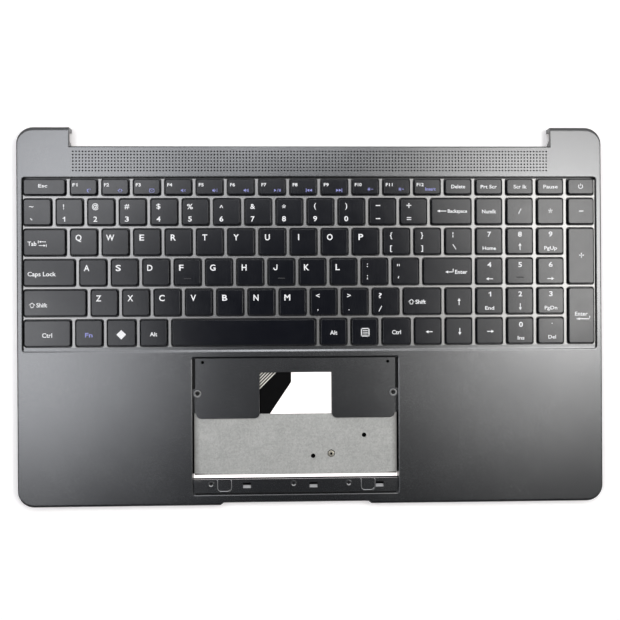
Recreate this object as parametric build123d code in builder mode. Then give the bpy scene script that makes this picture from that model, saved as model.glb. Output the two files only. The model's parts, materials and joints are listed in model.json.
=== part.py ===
"""Laptop top case with its keyboard: palm rest shell, keys with what is under them, and touchpad bracket.

Millimetres. X runs along the rows of keys to the number pad, Y towards the hinges, and Z up from the rim
that the shell rests on. The origin is under the middle of the shell.
"""

import math
import os
from typing import NamedTuple

from build123d import *

os.makedirs("parts", exist_ok=True)

# Shell
case_width = 358.0
case_depth = 230.0
case_height = 8.0
wall = 1.6
corner_radius = 10.0
edge_bevel = 0.8
ear_width = 31.7
ear_depth = 11.0
ear_leg = 2.4
ear_roof = 2.2
ear_gusset = 2.0
finger_notch_width = 88.3
finger_notch_depth = 1.5
finger_notch_slope = 2.0

# Sides of small round features, and of hexagons
round_sides = 12
hex_sides = 6

# Keyboard field, with key widths in units of the key pitch
key_pitch = 19.05
row_pitch = 18.4
web_x = 1.9
web_y = 1.4
function_row_height = 10.6
main_units = 14.45
pad_columns = 4
field_from_back = 41.85
well_depth = 1.6
well_side = 1.1
well_back = 0.95
well_front = 3.1
well_corner = 1.8
ramp_length = 1.5
ramp_height = 0.7

# Keycaps and what carries them
cap_height = 2.0
cap_above_palm_rest = 0.1
cap_gap = 0.38
cap_draft = 0.3
cap_corner = 1.1
cap_wall = 0.9
cap_roof = 1.0
key_travel = 1.3
key_stop_gap = 0.1
dome_radius = 1.9
dome_top_radius = 1.0
dome_sides = 4
link_length = 10.0
link_bar = 0.7
link_thickness = 0.6
link_side_gap = 0.2
link_play = 0.05
link_margin = 0.4

# Switch film, backplate and the studs that hold them up against the web
membrane_thickness = 0.3
backplate_thickness = 0.5
sheet_clearance = 0.5
stud_radius = 0.7
stud_head_radius = 1.3
stud_head = 0.5
stud_clearance = 0.2
stud_columns = 3
stud_pitch = 150.0

# Speaker grille: each slot stands for a run of small round holes
grille_pitch = 1.945
grille_hole = 0.9
grille_rows = 7
holes_per_slot = 50
slots_per_row = 3
grille_from_strip_back = 9.1

# Touchpad opening, shelf, ledge and bracket
pad_width = 126.2
pad_offset = -10.55
pad_from_front = 6.35
pad_from_well = 3.65
pad_corner = 1.5
shelf_drop = 2.0
shelf_thickness = 1.4
shelf_depth = 9.5
tab_reach = 37.6
tab_inner = 22.1
tab_side_gap = 2.1
tab_corner = 3.3
ledge_depth = 9.0
pilot_radius = 0.8
pilot_ring = 1.1
pilot_ring_height = 0.4
pilot_from_ledge_back = 2.95
pilot_places = (-52.0, -1.5, 32.3)
corner_hole_radius = 1.1
corner_hole_inset = 6.3
corner_hole_from_back = 3.1
snap_width = 4.8
snap_depth = 3.2
snap_pitch = 40.75
snap_offset = 10.65
snap_from_ledge_back = 3.8
rest_width = 8.8
rest_rib = 0.7
rest_height = 0.5
rest_offset = 44.0
rest_length = 7.8
post_radius = 2.3
post_height = 0.8
post_inset = 2.4
post_from_ledge_back = 2.35
bracket_thickness = 0.7
bracket_side_lap = 1.0
bracket_tab_lap = 2.65
bracket_ledge_gap = 2.65
bracket_hole_radius = 1.4
bracket_holes = ((10.6, 11.0), (42.1, 23.6))
bracket_arm_gap = 2.0
screw_inset = 3.1
screw_from_back = 22.2
screw_lug_radius = 2.4
screw_head_radius = 1.9
screw_head_height = 0.9
screw_radius = 0.9
screw_clearance = 0.1
nut_across_flats = 3.8
nut_height = 1.3
nut_bore = 0.8
nut_place = (21.7, 12.5)

# Film cable from the switch film
ribbon_thickness = 0.25
ribbon_right = 2.7
ribbon_width = 36.0
ribbon_overlap = 14.0
ribbon_knee = 15.65
ribbon_end = 49.0
ribbon_slant = 0.678

# Screw bosses for the bottom cover
boss_from_side = 19.0
boss_from_front = 11.0
boss_from_strip_back = 10.0
boss_radius = 2.7
boss_lift = 0.6
insert_radius = 1.6
insert_bore = 0.9
insert_length = 3.0
insert_clearance = 0.05
insert_relief = 0.6

# Ribs under the palm rests
rib_width = 1.0
rib_bottom = 4.6
rib_rows = 2
rib_row_pitch = 30.0
rib_columns = 2
rib_column_pitch = 34.0

# Keys, row by row from the back, first the main block and then the number pad
main_rows = {
    "function": "esc f1 f2 f3 f4 f5 f6 f7 f8 f9 f10 f11 f12 delete",
    "number": "grave 1 2 3 4 5 6 7 8 9 0 minus equals backspace",
    "upper": "tab q w e r t y u i o p left_bracket right_bracket backslash",
    "home": "caps_lock a s d f g h j k l semicolon quote enter",
    "lower": "left_shift z x c v b n m comma period slash right_shift up_arrow",
    "bottom": "left_ctrl fn system left_alt space right_alt menu right_ctrl left_arrow down_arrow",
}
pad_rows = {
    "function": "print_screen scroll_lock pause power",
    "number": "num_lock pad_divide pad_multiply pad_minus",
    "upper": "pad_7 pad_8 pad_9 pad_plus",
    "home": "pad_4 pad_5 pad_6",
    "lower": "pad_1 pad_2 pad_3 pad_enter",
    "bottom": "right_arrow pad_0 pad_decimal",
}
key_units = {
    "caps_lock": 1.735,
    "left_shift": 2.09,
    "left_ctrl": 1.6,
    "system": 1.05,
    "right_ctrl": 1.05,
}
filler_keys = {"esc", "backspace", "tab", "enter", "right_shift", "space"}
two_row_keys = {"pad_plus", "pad_enter"}
moving_keys = set("q w e r t y u i o p a s d f g h j k l z x c v b n m".split()) | set(
    "esc delete power backspace tab caps_lock enter left_shift right_shift up_arrow left_ctrl fn system "
    "left_alt space right_alt menu right_ctrl left_arrow down_arrow right_arrow pad_plus pad_enter".split()
)


class KeyCell(NamedTuple):
    """A key's opening in the web: its name, its centre and its size."""

    name: str
    x: float
    y: float
    width: float
    depth: float


# Levels
cap_top = case_height + cap_above_palm_rest
cap_bottom = cap_top - cap_height
roof_under = cap_top - cap_roof
web_top = case_height - well_depth
web_bottom = cap_bottom - key_travel - key_stop_gap
membrane_bottom = web_bottom - membrane_thickness
backplate_bottom = membrane_bottom - backplate_thickness
shell_under = case_height - wall
shelf_top = case_height - shelf_drop
shelf_bottom = shelf_top - shelf_thickness
bracket_bottom = shelf_bottom - bracket_thickness
into_plate = case_height - wall / 2

# Places
half_width = case_width / 2
half_depth = case_depth / 2
strip_back = half_depth - ear_depth
ear_inner = half_width - ear_width
first_web_y = half_depth - field_from_back
field_width = (main_units + pad_columns) * key_pitch
field_left = -field_width / 2
key_rows = len(main_rows) - 1
well_left = field_left + web_x / 2 - well_side
well_rear = first_web_y + web_y / 2 + function_row_height + well_back
well_fore = first_web_y - key_rows * row_pitch + web_y / 2 - well_front
well_size = (-2 * well_left, well_rear - well_fore)
well_centre = (0, (well_rear + well_fore) / 2)
sheet_size = (well_size[0] + 2 * (wall - sheet_clearance), well_size[1] + 2 * (wall - sheet_clearance))
pad_front = -half_depth + pad_from_front
pad_rear = well_fore - pad_from_well
pad_depth = pad_rear - pad_front
pad_centre = (pad_offset, (pad_front + pad_rear) / 2)
ledge_rear = pad_front + ledge_depth
tab_outer = pad_width / 2 - tab_side_gap
tab_neck = screw_from_back + screw_lug_radius - shelf_depth
bracket_half = pad_width / 2 + bracket_side_lap
bracket_rear = pad_rear - tab_reach + bracket_tab_lap
bracket_front = ledge_rear + bracket_ledge_gap
screw_side = pad_width / 2 - screw_inset
nut_point = (pad_offset + nut_place[0], bracket_front + nut_place[1])
screw_points = [(pad_offset + side * screw_side, pad_rear - screw_from_back) for side in (-1, 1)]
boss_rows_y = (-half_depth + boss_from_front, strip_back - boss_from_strip_back)
boss_points = [(side * (half_width - boss_from_side), y) for side in (-1, 1) for y in boss_rows_y]
stud_rows_y = (well_rear + wall / 2, well_fore + stud_head_radius)
stud_points = [
    ((i - (stud_columns - 1) / 2) * stud_pitch, y) for i in range(stud_columns) for y in stud_rows_y
]


def lay_out_keys():
    """Works out each key's opening from the rows, the pitches and the web."""
    cells = []
    for index, row in enumerate(main_rows):
        rear = first_web_y - (index - 1) * row_pitch - web_y / 2
        depth = row_pitch - web_y
        if index == 0:
            depth = function_row_height
            rear = first_web_y + web_y / 2 + depth
        names = main_rows[row].split()
        taken = sum(key_units.get(name, 1.0) for name in names if name not in filler_keys)
        units = [main_units - taken if name in filler_keys else key_units.get(name, 1.0) for name in names]
        names += pad_rows[row].split()
        units += [1.0] * (len(names) - len(units))
        left = field_left
        for name, unit in zip(names, units):
            tall = depth + row_pitch if name in two_row_keys else depth
            width = unit * key_pitch
            cells.append(KeyCell(name, left + width / 2, rear - tall / 2, width - web_x, tall))
            left += width
    return cells


key_cells = lay_out_keys()
standard_depth = row_pitch - web_y


def group_by_size(cells, size_of):
    """Returns the centres of the cells under each size that size_of gives."""
    groups = {}
    for cell in cells:
        groups.setdefault(size_of(cell), []).append((cell.x, cell.y))
    return groups


def opening_size(cell):
    """Returns a key opening's width and depth, rounded so that like keys share a group."""
    return round(cell.width, 3), round(cell.depth, 3)


def cap_size(cell):
    """Returns a cap's width and depth at its foot."""
    width, depth = opening_size(cell)
    return width - 2 * cap_gap, depth - 2 * cap_gap


def cavity_size(cell):
    """Returns the width and depth of the hollow under a cap's roof."""
    inset = cap_gap + cap_draft + cap_wall
    width, depth = opening_size(cell)
    return width - 2 * inset, depth - 2 * inset


cap_taper = math.degrees(math.atan(cap_draft / cap_height))
dome_height = roof_under - web_bottom
dome_inset = (dome_radius - dome_top_radius) * math.cos(math.pi / dome_sides)
dome_taper = math.degrees(math.atan(dome_inset / dome_height))

# The shell: one moulding
with BuildPart() as upper_case:
    with BuildSketch() as outline:
        Rectangle(case_width, case_depth)
        with Locations((0, half_depth)):
            Rectangle(2 * ear_inner, 2 * ear_depth, mode=Mode.SUBTRACT)
        fillet(outline.vertices().group_by(Axis.X)[0], corner_radius)
        fillet(outline.vertices().group_by(Axis.X)[-1], corner_radius)
        with BuildLine(Plane((pad_offset, -half_depth, 0))):
            mouth = finger_notch_width / 2 + finger_notch_slope
            Polyline(
                (-mouth, 0),
                (-finger_notch_width / 2, finger_notch_depth),
                (finger_notch_width / 2, finger_notch_depth),
                (mouth, 0),
                close=True,
            )
        make_face(mode=Mode.SUBTRACT)
    extrude(amount=case_height)
    chamfer(upper_case.faces().sort_by(Axis.Z)[-1].edges(), edge_bevel)
    with BuildSketch():
        offset(outline.sketch, amount=-wall, kind=Kind.INTERSECTION)
    extrude(amount=shell_under, mode=Mode.SUBTRACT)

    # Inner ends of the ears, open below for the hinges, with a gusset in the front corner
    with BuildSketch(Plane.YZ):
        with BuildLine():
            mouth_front = strip_back + wall
            mouth_back = half_depth - ear_leg
            mouth_top = case_height - ear_roof
            Polyline(
                (mouth_front, 0),
                (mouth_front, mouth_top - ear_gusset),
                (mouth_front + ear_gusset, mouth_top),
                (mouth_back, mouth_top),
                (mouth_back, 0),
                close=True,
            )
        make_face()
    extrude(amount=ear_inner + 2 * wall, both=True, mode=Mode.SUBTRACT)

    # Keyboard well: a tray hung in the shell, with the web of key openings as its floor
    with BuildSketch(Plane.XY.offset(web_bottom)):
        with Locations(well_centre):
            Rectangle(well_size[0] + 2 * wall, well_size[1] + 2 * wall)
    extrude(amount=into_plate - web_bottom)
    with BuildSketch(Plane.XY.offset(web_top)):
        with Locations(well_centre):
            RectangleRounded(well_size[0], well_size[1], well_corner)
    extrude(amount=well_depth, mode=Mode.SUBTRACT)
    with BuildSketch(Plane.YZ.offset(well_left)):
        with BuildLine():
            Polyline(
                (well_fore + ramp_length, web_top),
                (well_fore, web_top + ramp_height),
                (well_fore, web_top),
                close=True,
            )
        make_face()
    extrude(amount=well_size[0])

    # Studs that are melted over under the backplate
    with BuildSketch(Plane.XY.offset(web_bottom)):
        with Locations(*stud_points):
            RegularPolygon(stud_radius, hex_sides)
    extrude(amount=backplate_bottom - web_bottom)
    with BuildSketch(Plane.XY.offset(backplate_bottom)):
        with Locations(*stud_points):
            RegularPolygon(stud_head_radius, hex_sides)
    extrude(amount=-stud_head)

    # Touchpad opening with its rim, shelf, two tabs and front ledge
    with BuildSketch(Plane.XY.offset(shelf_bottom)):
        with Locations(pad_centre):
            Rectangle(pad_width + 2 * wall, pad_depth + 2 * wall)
    extrude(amount=into_plate - shelf_bottom)
    with BuildSketch():
        with Locations(pad_centre):
            RectangleRounded(pad_width, pad_depth, pad_corner)
    extrude(amount=case_height, mode=Mode.SUBTRACT)
    with BuildSketch(Plane.XY.offset(shelf_bottom)) as shelf:
        with Locations((pad_offset, pad_rear)):
            Rectangle(pad_width, shelf_depth, align=(Align.CENTER, Align.MAX))
            for side in (-1, 1):
                with Locations((side * (tab_inner + tab_outer) / 2, 0)):
                    Rectangle(tab_outer - tab_inner, tab_reach, align=(Align.CENTER, Align.MAX))
        fillet(shelf.vertices().group_by(Axis.Y)[0], tab_corner)
        with Locations((pad_offset, pad_rear - shelf_depth)):
            for side in (-1, 1):
                with Locations((side * (pad_width / 2 + tab_outer) / 2, 0)):
                    Rectangle(pad_width / 2 - tab_outer, tab_neck, align=(Align.CENTER, Align.MAX))
        with Locations((pad_offset, pad_front)):
            Rectangle(pad_width, ledge_depth, align=(Align.CENTER, Align.MIN))
        with Locations(*screw_points):
            RegularPolygon(screw_radius + screw_clearance, round_sides, mode=Mode.SUBTRACT)
        with Locations((pad_offset, pad_rear - corner_hole_from_back)):
            with GridLocations(pad_width - 2 * corner_hole_inset, 0, 2, 1):
                RegularPolygon(corner_hole_radius, round_sides, mode=Mode.SUBTRACT)
        with Locations((pad_offset + snap_offset, ledge_rear - snap_from_ledge_back)):
            with GridLocations(snap_pitch, 0, 3, 1):
                Rectangle(snap_width, snap_depth, mode=Mode.SUBTRACT)
    extrude(amount=shelf_thickness)

    # What stands on the front ledge: rings round the pilot holes, rests for the touchpad and a post
    with BuildSketch(Plane.XY.offset(shelf_top)):
        with Locations(*[(pad_offset + x, ledge_rear - pilot_from_ledge_back) for x in pilot_places]):
            RegularPolygon(pilot_radius + pilot_ring, round_sides)
            RegularPolygon(pilot_radius, round_sides, mode=Mode.SUBTRACT)
    extrude(amount=pilot_ring_height)
    with BuildSketch(Plane.XY.offset(shelf_top)):
        with Locations((pad_offset, ledge_rear)):
            with GridLocations(2 * rest_offset, 0, 2, 1):
                Rectangle(rest_width, rest_length, align=(Align.CENTER, Align.MAX))
                Rectangle(
                    rest_width - 2 * rest_rib,
                    rest_length - rest_rib,
                    align=(Align.CENTER, Align.MAX),
                    mode=Mode.SUBTRACT,
                )
    extrude(amount=rest_height)
    with BuildSketch(Plane.XY.offset(shelf_top)):
        with Locations((pad_offset - pad_width / 2 + post_inset, ledge_rear - post_from_ledge_back)):
            RegularPolygon(post_radius, round_sides)
    extrude(amount=post_height)

    # Ribs under the palm rests and screw bosses for the bottom cover
    with BuildSketch(Plane.XY.offset(rib_bottom)):
        inner_faces = (
            (-half_width + wall, pad_offset - pad_width / 2 - wall),
            (pad_offset + pad_width / 2 + wall, half_width - wall),
        )
        rest_front = -half_depth + wall
        rest_rear = well_fore - wall
        for left, right in inner_faces:
            with Locations(((left + right) / 2, (rest_front + rest_rear) / 2)):
                with GridLocations(0, rib_row_pitch, 1, rib_rows):
                    Rectangle(right - left, rib_width)
                with GridLocations(rib_column_pitch, 0, rib_columns, 1):
                    Rectangle(rib_width, rest_rear - rest_front)
    extrude(amount=into_plate - rib_bottom)
    with BuildSketch(Plane.XY.offset(boss_lift)):
        with Locations(*boss_points):
            RegularPolygon(boss_radius, round_sides)
    extrude(amount=into_plate - boss_lift)
    with BuildSketch(Plane.XY.offset(boss_lift)):
        with Locations(*boss_points):
            RegularPolygon(insert_radius + insert_clearance, round_sides)
    extrude(amount=insert_length + insert_relief, mode=Mode.SUBTRACT)
    # Speaker grille in the strip behind the keys
    with BuildSketch(Plane.XY.offset(shell_under)):
        with Locations((0, strip_back - grille_from_strip_back)):
            slot_pitch = holes_per_slot * grille_pitch
            slot_length = (holes_per_slot - 1) * grille_pitch + grille_hole
            with GridLocations(slot_pitch, grille_pitch, slots_per_row, grille_rows):
                Rectangle(slot_length, grille_hole)
    extrude(amount=wall, mode=Mode.SUBTRACT)

    # Key openings in the web
    with BuildSketch(Plane.XY.offset(web_bottom)):
        for size, centres in group_by_size(key_cells, opening_size).items():
            with Locations(*centres):
                Rectangle(*size)
    extrude(amount=well_depth + web_top - web_bottom, mode=Mode.SUBTRACT)
upper_case.part.label = "upper_case"
export_step(upper_case.part, "parts/upper_case.step")

# Sheets under the web
with BuildPart() as switch_membrane:
    with BuildSketch(Plane.XY.offset(membrane_bottom)):
        with Locations(well_centre):
            Rectangle(*sheet_size)
        with Locations(*stud_points):
            RegularPolygon(stud_radius + stud_clearance, hex_sides, mode=Mode.SUBTRACT)
    extrude(amount=membrane_thickness)
switch_membrane.part.label = "switch_membrane"
export_step(switch_membrane.part, "parts/switch_membrane.step")

with BuildPart() as keyboard_backplate:
    with BuildSketch(Plane.XY.offset(backplate_bottom)):
        with Locations(well_centre):
            Rectangle(*sheet_size)
        with Locations(*stud_points):
            RegularPolygon(stud_radius + stud_clearance, hex_sides, mode=Mode.SUBTRACT)
    extrude(amount=backplate_thickness)
keyboard_backplate.part.label = "keyboard_backplate"
export_step(keyboard_backplate.part, "parts/keyboard_backplate.step")

# Film cable: from the backplate's underside, forward under the shelf, then slanting off under the bracket
with BuildPart() as keyboard_ribbon:
    with BuildSketch(Plane.XY.offset(bracket_bottom - ribbon_thickness)):
        right = pad_offset - ribbon_right
        slant = (ribbon_end - ribbon_knee) * ribbon_slant
        with BuildLine(Plane((right, pad_rear, 0))):
            Polyline(
                (0, ribbon_overlap),
                (0, -ribbon_knee),
                (-slant, -ribbon_end),
                (-slant - ribbon_width, -ribbon_end),
                (-ribbon_width, -ribbon_knee),
                (-ribbon_width, ribbon_overlap),
                close=True,
            )
        make_face()
    extrude(amount=ribbon_thickness)
keyboard_ribbon.part.label = "keyboard_ribbon"
export_step(keyboard_ribbon.part, "parts/keyboard_ribbon.step")

# Steel bracket under the touchpad opening, with arms under the shelf's tabs
with BuildPart() as touchpad_bracket:
    with BuildSketch(Plane.XY.offset(bracket_bottom)):
        with Locations((pad_offset, bracket_rear)):
            Rectangle(2 * bracket_half, bracket_rear - bracket_front, align=(Align.CENTER, Align.MAX))
            arm_inner = tab_inner + bracket_arm_gap
            arm_length = pad_rear - screw_from_back + screw_lug_radius - bracket_rear
            for side in (-1, 1):
                with Locations((side * (arm_inner + bracket_half) / 2, 0)):
                    Rectangle(bracket_half - arm_inner, arm_length, align=(Align.CENTER, Align.MIN))
        with Locations(*[(pad_offset + x, bracket_front + y) for x, y in bracket_holes]):
            RegularPolygon(bracket_hole_radius, round_sides, mode=Mode.SUBTRACT)
        with Locations(*screw_points):
            RegularPolygon(screw_radius + screw_clearance, round_sides, mode=Mode.SUBTRACT)
        with Locations(nut_point):
            RegularPolygon(nut_bore, round_sides, mode=Mode.SUBTRACT)
    extrude(amount=bracket_thickness)
touchpad_bracket.part.label = "touchpad_bracket"
export_step(touchpad_bracket.part, "parts/touchpad_bracket.step")

with BuildPart() as bracket_nut:
    with BuildSketch(Plane.XY.offset(shelf_bottom)):
        with Locations(nut_point):
            RegularPolygon(nut_across_flats / 2, hex_sides, major_radius=False)
            RegularPolygon(nut_bore, round_sides, mode=Mode.SUBTRACT)
    extrude(amount=nut_height)
bracket_nut.part.label = "bracket_nut"
export_step(bracket_nut.part, "parts/bracket_nut.step")

with BuildPart() as bracket_screws:
    with BuildSketch(Plane.XY.offset(shelf_top)):
        with Locations(*screw_points):
            RegularPolygon(screw_head_radius, round_sides)
    extrude(amount=screw_head_height)
    with BuildSketch(Plane.XY.offset(bracket_bottom)):
        with Locations(*screw_points):
            RegularPolygon(screw_radius, round_sides)
    extrude(amount=shelf_top - bracket_bottom)
bracket_screws.part.label = "bracket_screws"
export_step(bracket_screws.part, "parts/bracket_screws.step")

with BuildPart() as threaded_inserts:
    with BuildSketch(Plane.XY.offset(boss_lift)):
        with Locations(*boss_points):
            RegularPolygon(insert_radius, round_sides)
            Circle(insert_bore, mode=Mode.SUBTRACT)
    extrude(amount=insert_length)
threaded_inserts.part.label = "threaded_inserts"
export_step(threaded_inserts.part, "parts/threaded_inserts.step")

# What is under each moving key: a dome, and a closed frame crossed by one that is open at an end
moving_cells = [cell for cell in key_cells if cell.name in moving_keys]
fixed_cells = [cell for cell in key_cells if cell.name not in moving_keys]
with BuildPart() as rubber_domes:
    with BuildSketch(Plane.XY.offset(web_bottom)):
        with Locations(*[(cell.x, cell.y) for cell in moving_cells]):
            RegularPolygon(dome_radius, dome_sides)
    extrude(amount=dome_height, taper=dome_taper)
rubber_domes.part.label = "rubber_domes"
export_step(rubber_domes.part, "parts/rubber_domes.step")

link_rise = dome_height - 2 * link_play - link_thickness
link_tilt = math.asin(link_rise / link_length)


def link_planes(centre_x, centre_y):
    """Returns the planes of a key's outer and inner frame, which cross at half height."""
    origin = (centre_x, centre_y, web_bottom + dome_height / 2)
    planes = []
    for tilt in (link_tilt, -link_tilt):
        along = (math.cos(tilt), 0, math.sin(tilt))
        across = (-math.sin(tilt), 0, math.cos(tilt))
        planes.append(Plane(origin, x_dir=along, z_dir=across))
    return planes


def link_width(cell):
    """Returns the outer frame's width, which is the same under a key of one row and of two."""
    return min(cell.depth, standard_depth) - 2 * (cap_gap + cap_draft + cap_wall + link_margin)


link_pairs = {}
for depth in sorted({link_width(cell) for cell in moving_cells}):
    inner_width = depth - 2 * (link_bar + link_side_gap)
    with BuildPart() as link_pair:
        for plane, width, end_bars in zip(link_planes(0, 0), (depth, inner_width), (1, 2)):
            with BuildSketch(plane):
                Rectangle(link_length, width)
                with Locations((link_bar - link_length / 2, 0)):
                    Rectangle(
                        link_length - end_bars * link_bar,
                        width - 2 * link_bar,
                        align=(Align.MIN, Align.CENTER),
                        mode=Mode.SUBTRACT,
                    )
            extrude(amount=link_thickness / 2, both=True)
    link_pairs[depth] = link_pair.part

with BuildPart() as scissor_links:
    for depth, pair in link_pairs.items():
        with Locations(*[(cell.x, cell.y) for cell in moving_cells if link_width(cell) == depth]):
            add(pair)
scissor_links.part.label = "scissor_links"
export_step(scissor_links.part, "parts/scissor_links.step")

# Keycaps that have no node of their own, each one with the dome that carries it
with BuildPart() as fixed_keys:
    with BuildSketch(Plane.XY.offset(cap_bottom)) as fixed_feet:
        for size, centres in group_by_size(fixed_cells, cap_size).items():
            with Locations(*centres):
                Rectangle(*size)
        chamfer(fixed_feet.vertices(), cap_corner)
    extrude(amount=cap_height, taper=cap_taper)
    with BuildSketch(Plane.XY.offset(web_bottom)):
        with Locations(*[(cell.x, cell.y) for cell in fixed_cells]):
            RegularPolygon(dome_radius, dome_sides)
    extrude(amount=cap_bottom - web_bottom, taper=dome_taper)
fixed_keys.part.label = "fixed_keys"
export_step(fixed_keys.part, "parts/fixed_keys.step")

# Keycaps that move
for cell in moving_cells:
    with BuildPart() as keycap:
        with BuildSketch(Plane.XY.offset(cap_bottom)) as foot:
            with Locations((cell.x, cell.y)):
                Rectangle(*cap_size(cell))
            chamfer(foot.vertices(), cap_corner)
        extrude(amount=cap_height, taper=cap_taper)
        with BuildSketch(Plane.XY.offset(cap_bottom)):
            with Locations((cell.x, cell.y)):
                Rectangle(*cavity_size(cell))
        extrude(amount=cap_height - cap_roof, mode=Mode.SUBTRACT)
    keycap.part.label = f"key_{cell.name}"
    export_step(keycap.part, f"parts/key_{cell.name}.step")
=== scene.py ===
"""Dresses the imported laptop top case: shell, lettered keys, touchpad bay and underside, in a studio.

The frame is in metres. Sizes in the classes below are in millimetres, in the part's axes: X along the rows
of keys to the number pad, Y towards the hinges, Z up from the rim that the shell rests on.
"""

from __future__ import annotations

import json
import logging
import math
from collections.abc import Callable, Iterator, Sequence
from contextlib import contextmanager
from dataclasses import dataclass, field
from enum import Enum
from typing import Any, Union

import bmesh
import bpy
from mathutils import Euler, Matrix, Vector

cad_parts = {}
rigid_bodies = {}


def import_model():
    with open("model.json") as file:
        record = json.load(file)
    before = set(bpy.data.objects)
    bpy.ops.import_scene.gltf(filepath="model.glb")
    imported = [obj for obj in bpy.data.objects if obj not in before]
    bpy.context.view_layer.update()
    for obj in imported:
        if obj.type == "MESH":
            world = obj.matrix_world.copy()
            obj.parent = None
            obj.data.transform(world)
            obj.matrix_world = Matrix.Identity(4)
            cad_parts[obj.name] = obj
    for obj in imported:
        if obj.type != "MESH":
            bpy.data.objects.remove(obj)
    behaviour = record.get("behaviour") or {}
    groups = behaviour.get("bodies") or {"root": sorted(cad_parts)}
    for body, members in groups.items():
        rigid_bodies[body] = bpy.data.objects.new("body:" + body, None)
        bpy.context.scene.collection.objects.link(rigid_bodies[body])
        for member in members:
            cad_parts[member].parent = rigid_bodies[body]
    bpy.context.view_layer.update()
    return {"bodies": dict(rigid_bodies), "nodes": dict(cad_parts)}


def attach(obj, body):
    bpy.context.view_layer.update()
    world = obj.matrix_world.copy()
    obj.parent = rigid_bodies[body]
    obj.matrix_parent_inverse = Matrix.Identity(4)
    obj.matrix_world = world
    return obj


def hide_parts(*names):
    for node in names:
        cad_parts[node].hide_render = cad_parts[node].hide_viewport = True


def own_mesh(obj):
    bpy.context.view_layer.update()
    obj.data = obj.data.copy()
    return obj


LOG = logging.getLogger("top_case")
MM = 0.001
Point = tuple[float, float]
Colour = tuple[float, float, float]
Piece = bpy.types.Object
Paint = bpy.types.Material


# Modelling by hand


class Join(Enum):
    """How one solid acts on another."""

    CUT = "DIFFERENCE"
    ADD = "UNION"


def activate(piece: Piece) -> None:
    """Selects one object alone and makes it the active one."""
    bpy.ops.object.select_all(action="DESELECT")
    piece.select_set(True)
    bpy.context.view_layer.objects.active = piece


def settle(piece: Piece, name: str) -> Piece:
    """Names a new object and moves its place, turn and scale into its mesh.

    Args:
        piece: The object to settle.
        name: Its new name.

    Returns:
        The same object, at the origin.
    """
    activate(piece)
    bpy.ops.object.transform_apply(location=True, rotation=True, scale=True)
    piece.name = name
    piece.data.name = name
    return piece


@contextmanager
def editing(piece: Piece) -> Iterator[None]:
    """Opens one object in edit mode with nothing selected, and closes it again."""
    activate(piece)
    bpy.ops.object.mode_set(mode="EDIT")
    bpy.ops.mesh.select_all(action="DESELECT")
    yield
    bpy.ops.object.mode_set(mode="OBJECT")


def pick_faces(piece: Piece, test: Callable[[bmesh.types.BMFace], bool]) -> None:
    """Selects the faces of the object in edit mode that pass a test."""
    bpy.ops.mesh.select_mode(type="FACE")
    mesh = bmesh.from_edit_mesh(piece.data)
    mesh.normal_update()
    for face in mesh.faces:
        face.select_set(test(face))
    bmesh.update_edit_mesh(piece.data)


def pick_edges(piece: Piece, test: Callable[[bmesh.types.BMEdge], bool]) -> None:
    """Selects the edges of the object in edit mode that pass a test."""
    bpy.ops.mesh.select_mode(type="EDGE")
    mesh = bmesh.from_edit_mesh(piece.data)
    mesh.normal_update()
    for edge in mesh.edges:
        edge.select_set(test(edge))
    bmesh.update_edit_mesh(piece.data)


def faces_up(face: bmesh.types.BMFace) -> bool:
    """Tells whether a face looks straight up."""
    return face.normal.z > 0.99


def faces_down(face: bmesh.types.BMFace) -> bool:
    """Tells whether a face looks straight down."""
    return face.normal.z < -0.99


def upright(edge: bmesh.types.BMEdge) -> bool:
    """Tells whether an edge stands along Z."""
    first, second = (vertex.co for vertex in edge.verts)
    return (first.xy - second.xy).length < 1e-7


def top_rim(edge: bmesh.types.BMEdge) -> bool:
    """Tells whether an edge borders a top face and a side."""
    ups = [faces_up(face) for face in edge.link_faces]
    return any(ups) and not all(ups)


def bottom_rim(edge: bmesh.types.BMEdge) -> bool:
    """Tells whether an edge borders a bottom face and a side."""
    downs = [faces_down(face) for face in edge.link_faces]
    return any(downs) and not all(downs)


def bevel(
    piece: Piece,
    test: Callable[[bmesh.types.BMEdge], bool],
    width: float,
    segments: int,
) -> None:
    """Rounds the edges that pass a test.

    Args:
        piece: The object.
        test: Picks the edges.
        width: How far the rounding reaches from the edge.
        segments: Facets of the rounding.
    """
    with editing(piece):
        pick_edges(piece, test)
        bpy.ops.mesh.bevel(offset=width * MM, offset_type="OFFSET", segments=segments, affect="EDGES")


def add_block(name: str, low: Sequence[float], high: Sequence[float]) -> Piece:
    """Adds a block between two corners.

    Args:
        name: The object's name.
        low: Lowest corner.
        high: Highest corner.

    Returns:
        The block.
    """
    bpy.ops.object.select_all(action="DESELECT")
    middle = [(a + b) / 2 * MM for a, b in zip(low, high)]
    bpy.ops.mesh.primitive_cube_add(size=1, location=middle)
    piece = bpy.context.object
    piece.scale = [(b - a) * MM for a, b in zip(low, high)]
    return settle(piece, name)


def add_round(
    name: str, centre: Point, radius: float, low: float, high: float, sides: int = 24
) -> Piece:
    """Adds an upright round bar.

    Args:
        name: The object's name.
        centre: X and Y of its axis.
        radius: Its radius.
        low: Level of its bottom.
        high: Level of its top.
        sides: Sides of its outline.

    Returns:
        The bar.
    """
    bpy.ops.object.select_all(action="DESELECT")
    bpy.ops.mesh.primitive_cylinder_add(
        vertices=sides,
        radius=radius * MM,
        depth=(high - low) * MM,
        location=(centre[0] * MM, centre[1] * MM, (low + high) / 2 * MM),
    )
    return settle(bpy.context.object, name)


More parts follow.
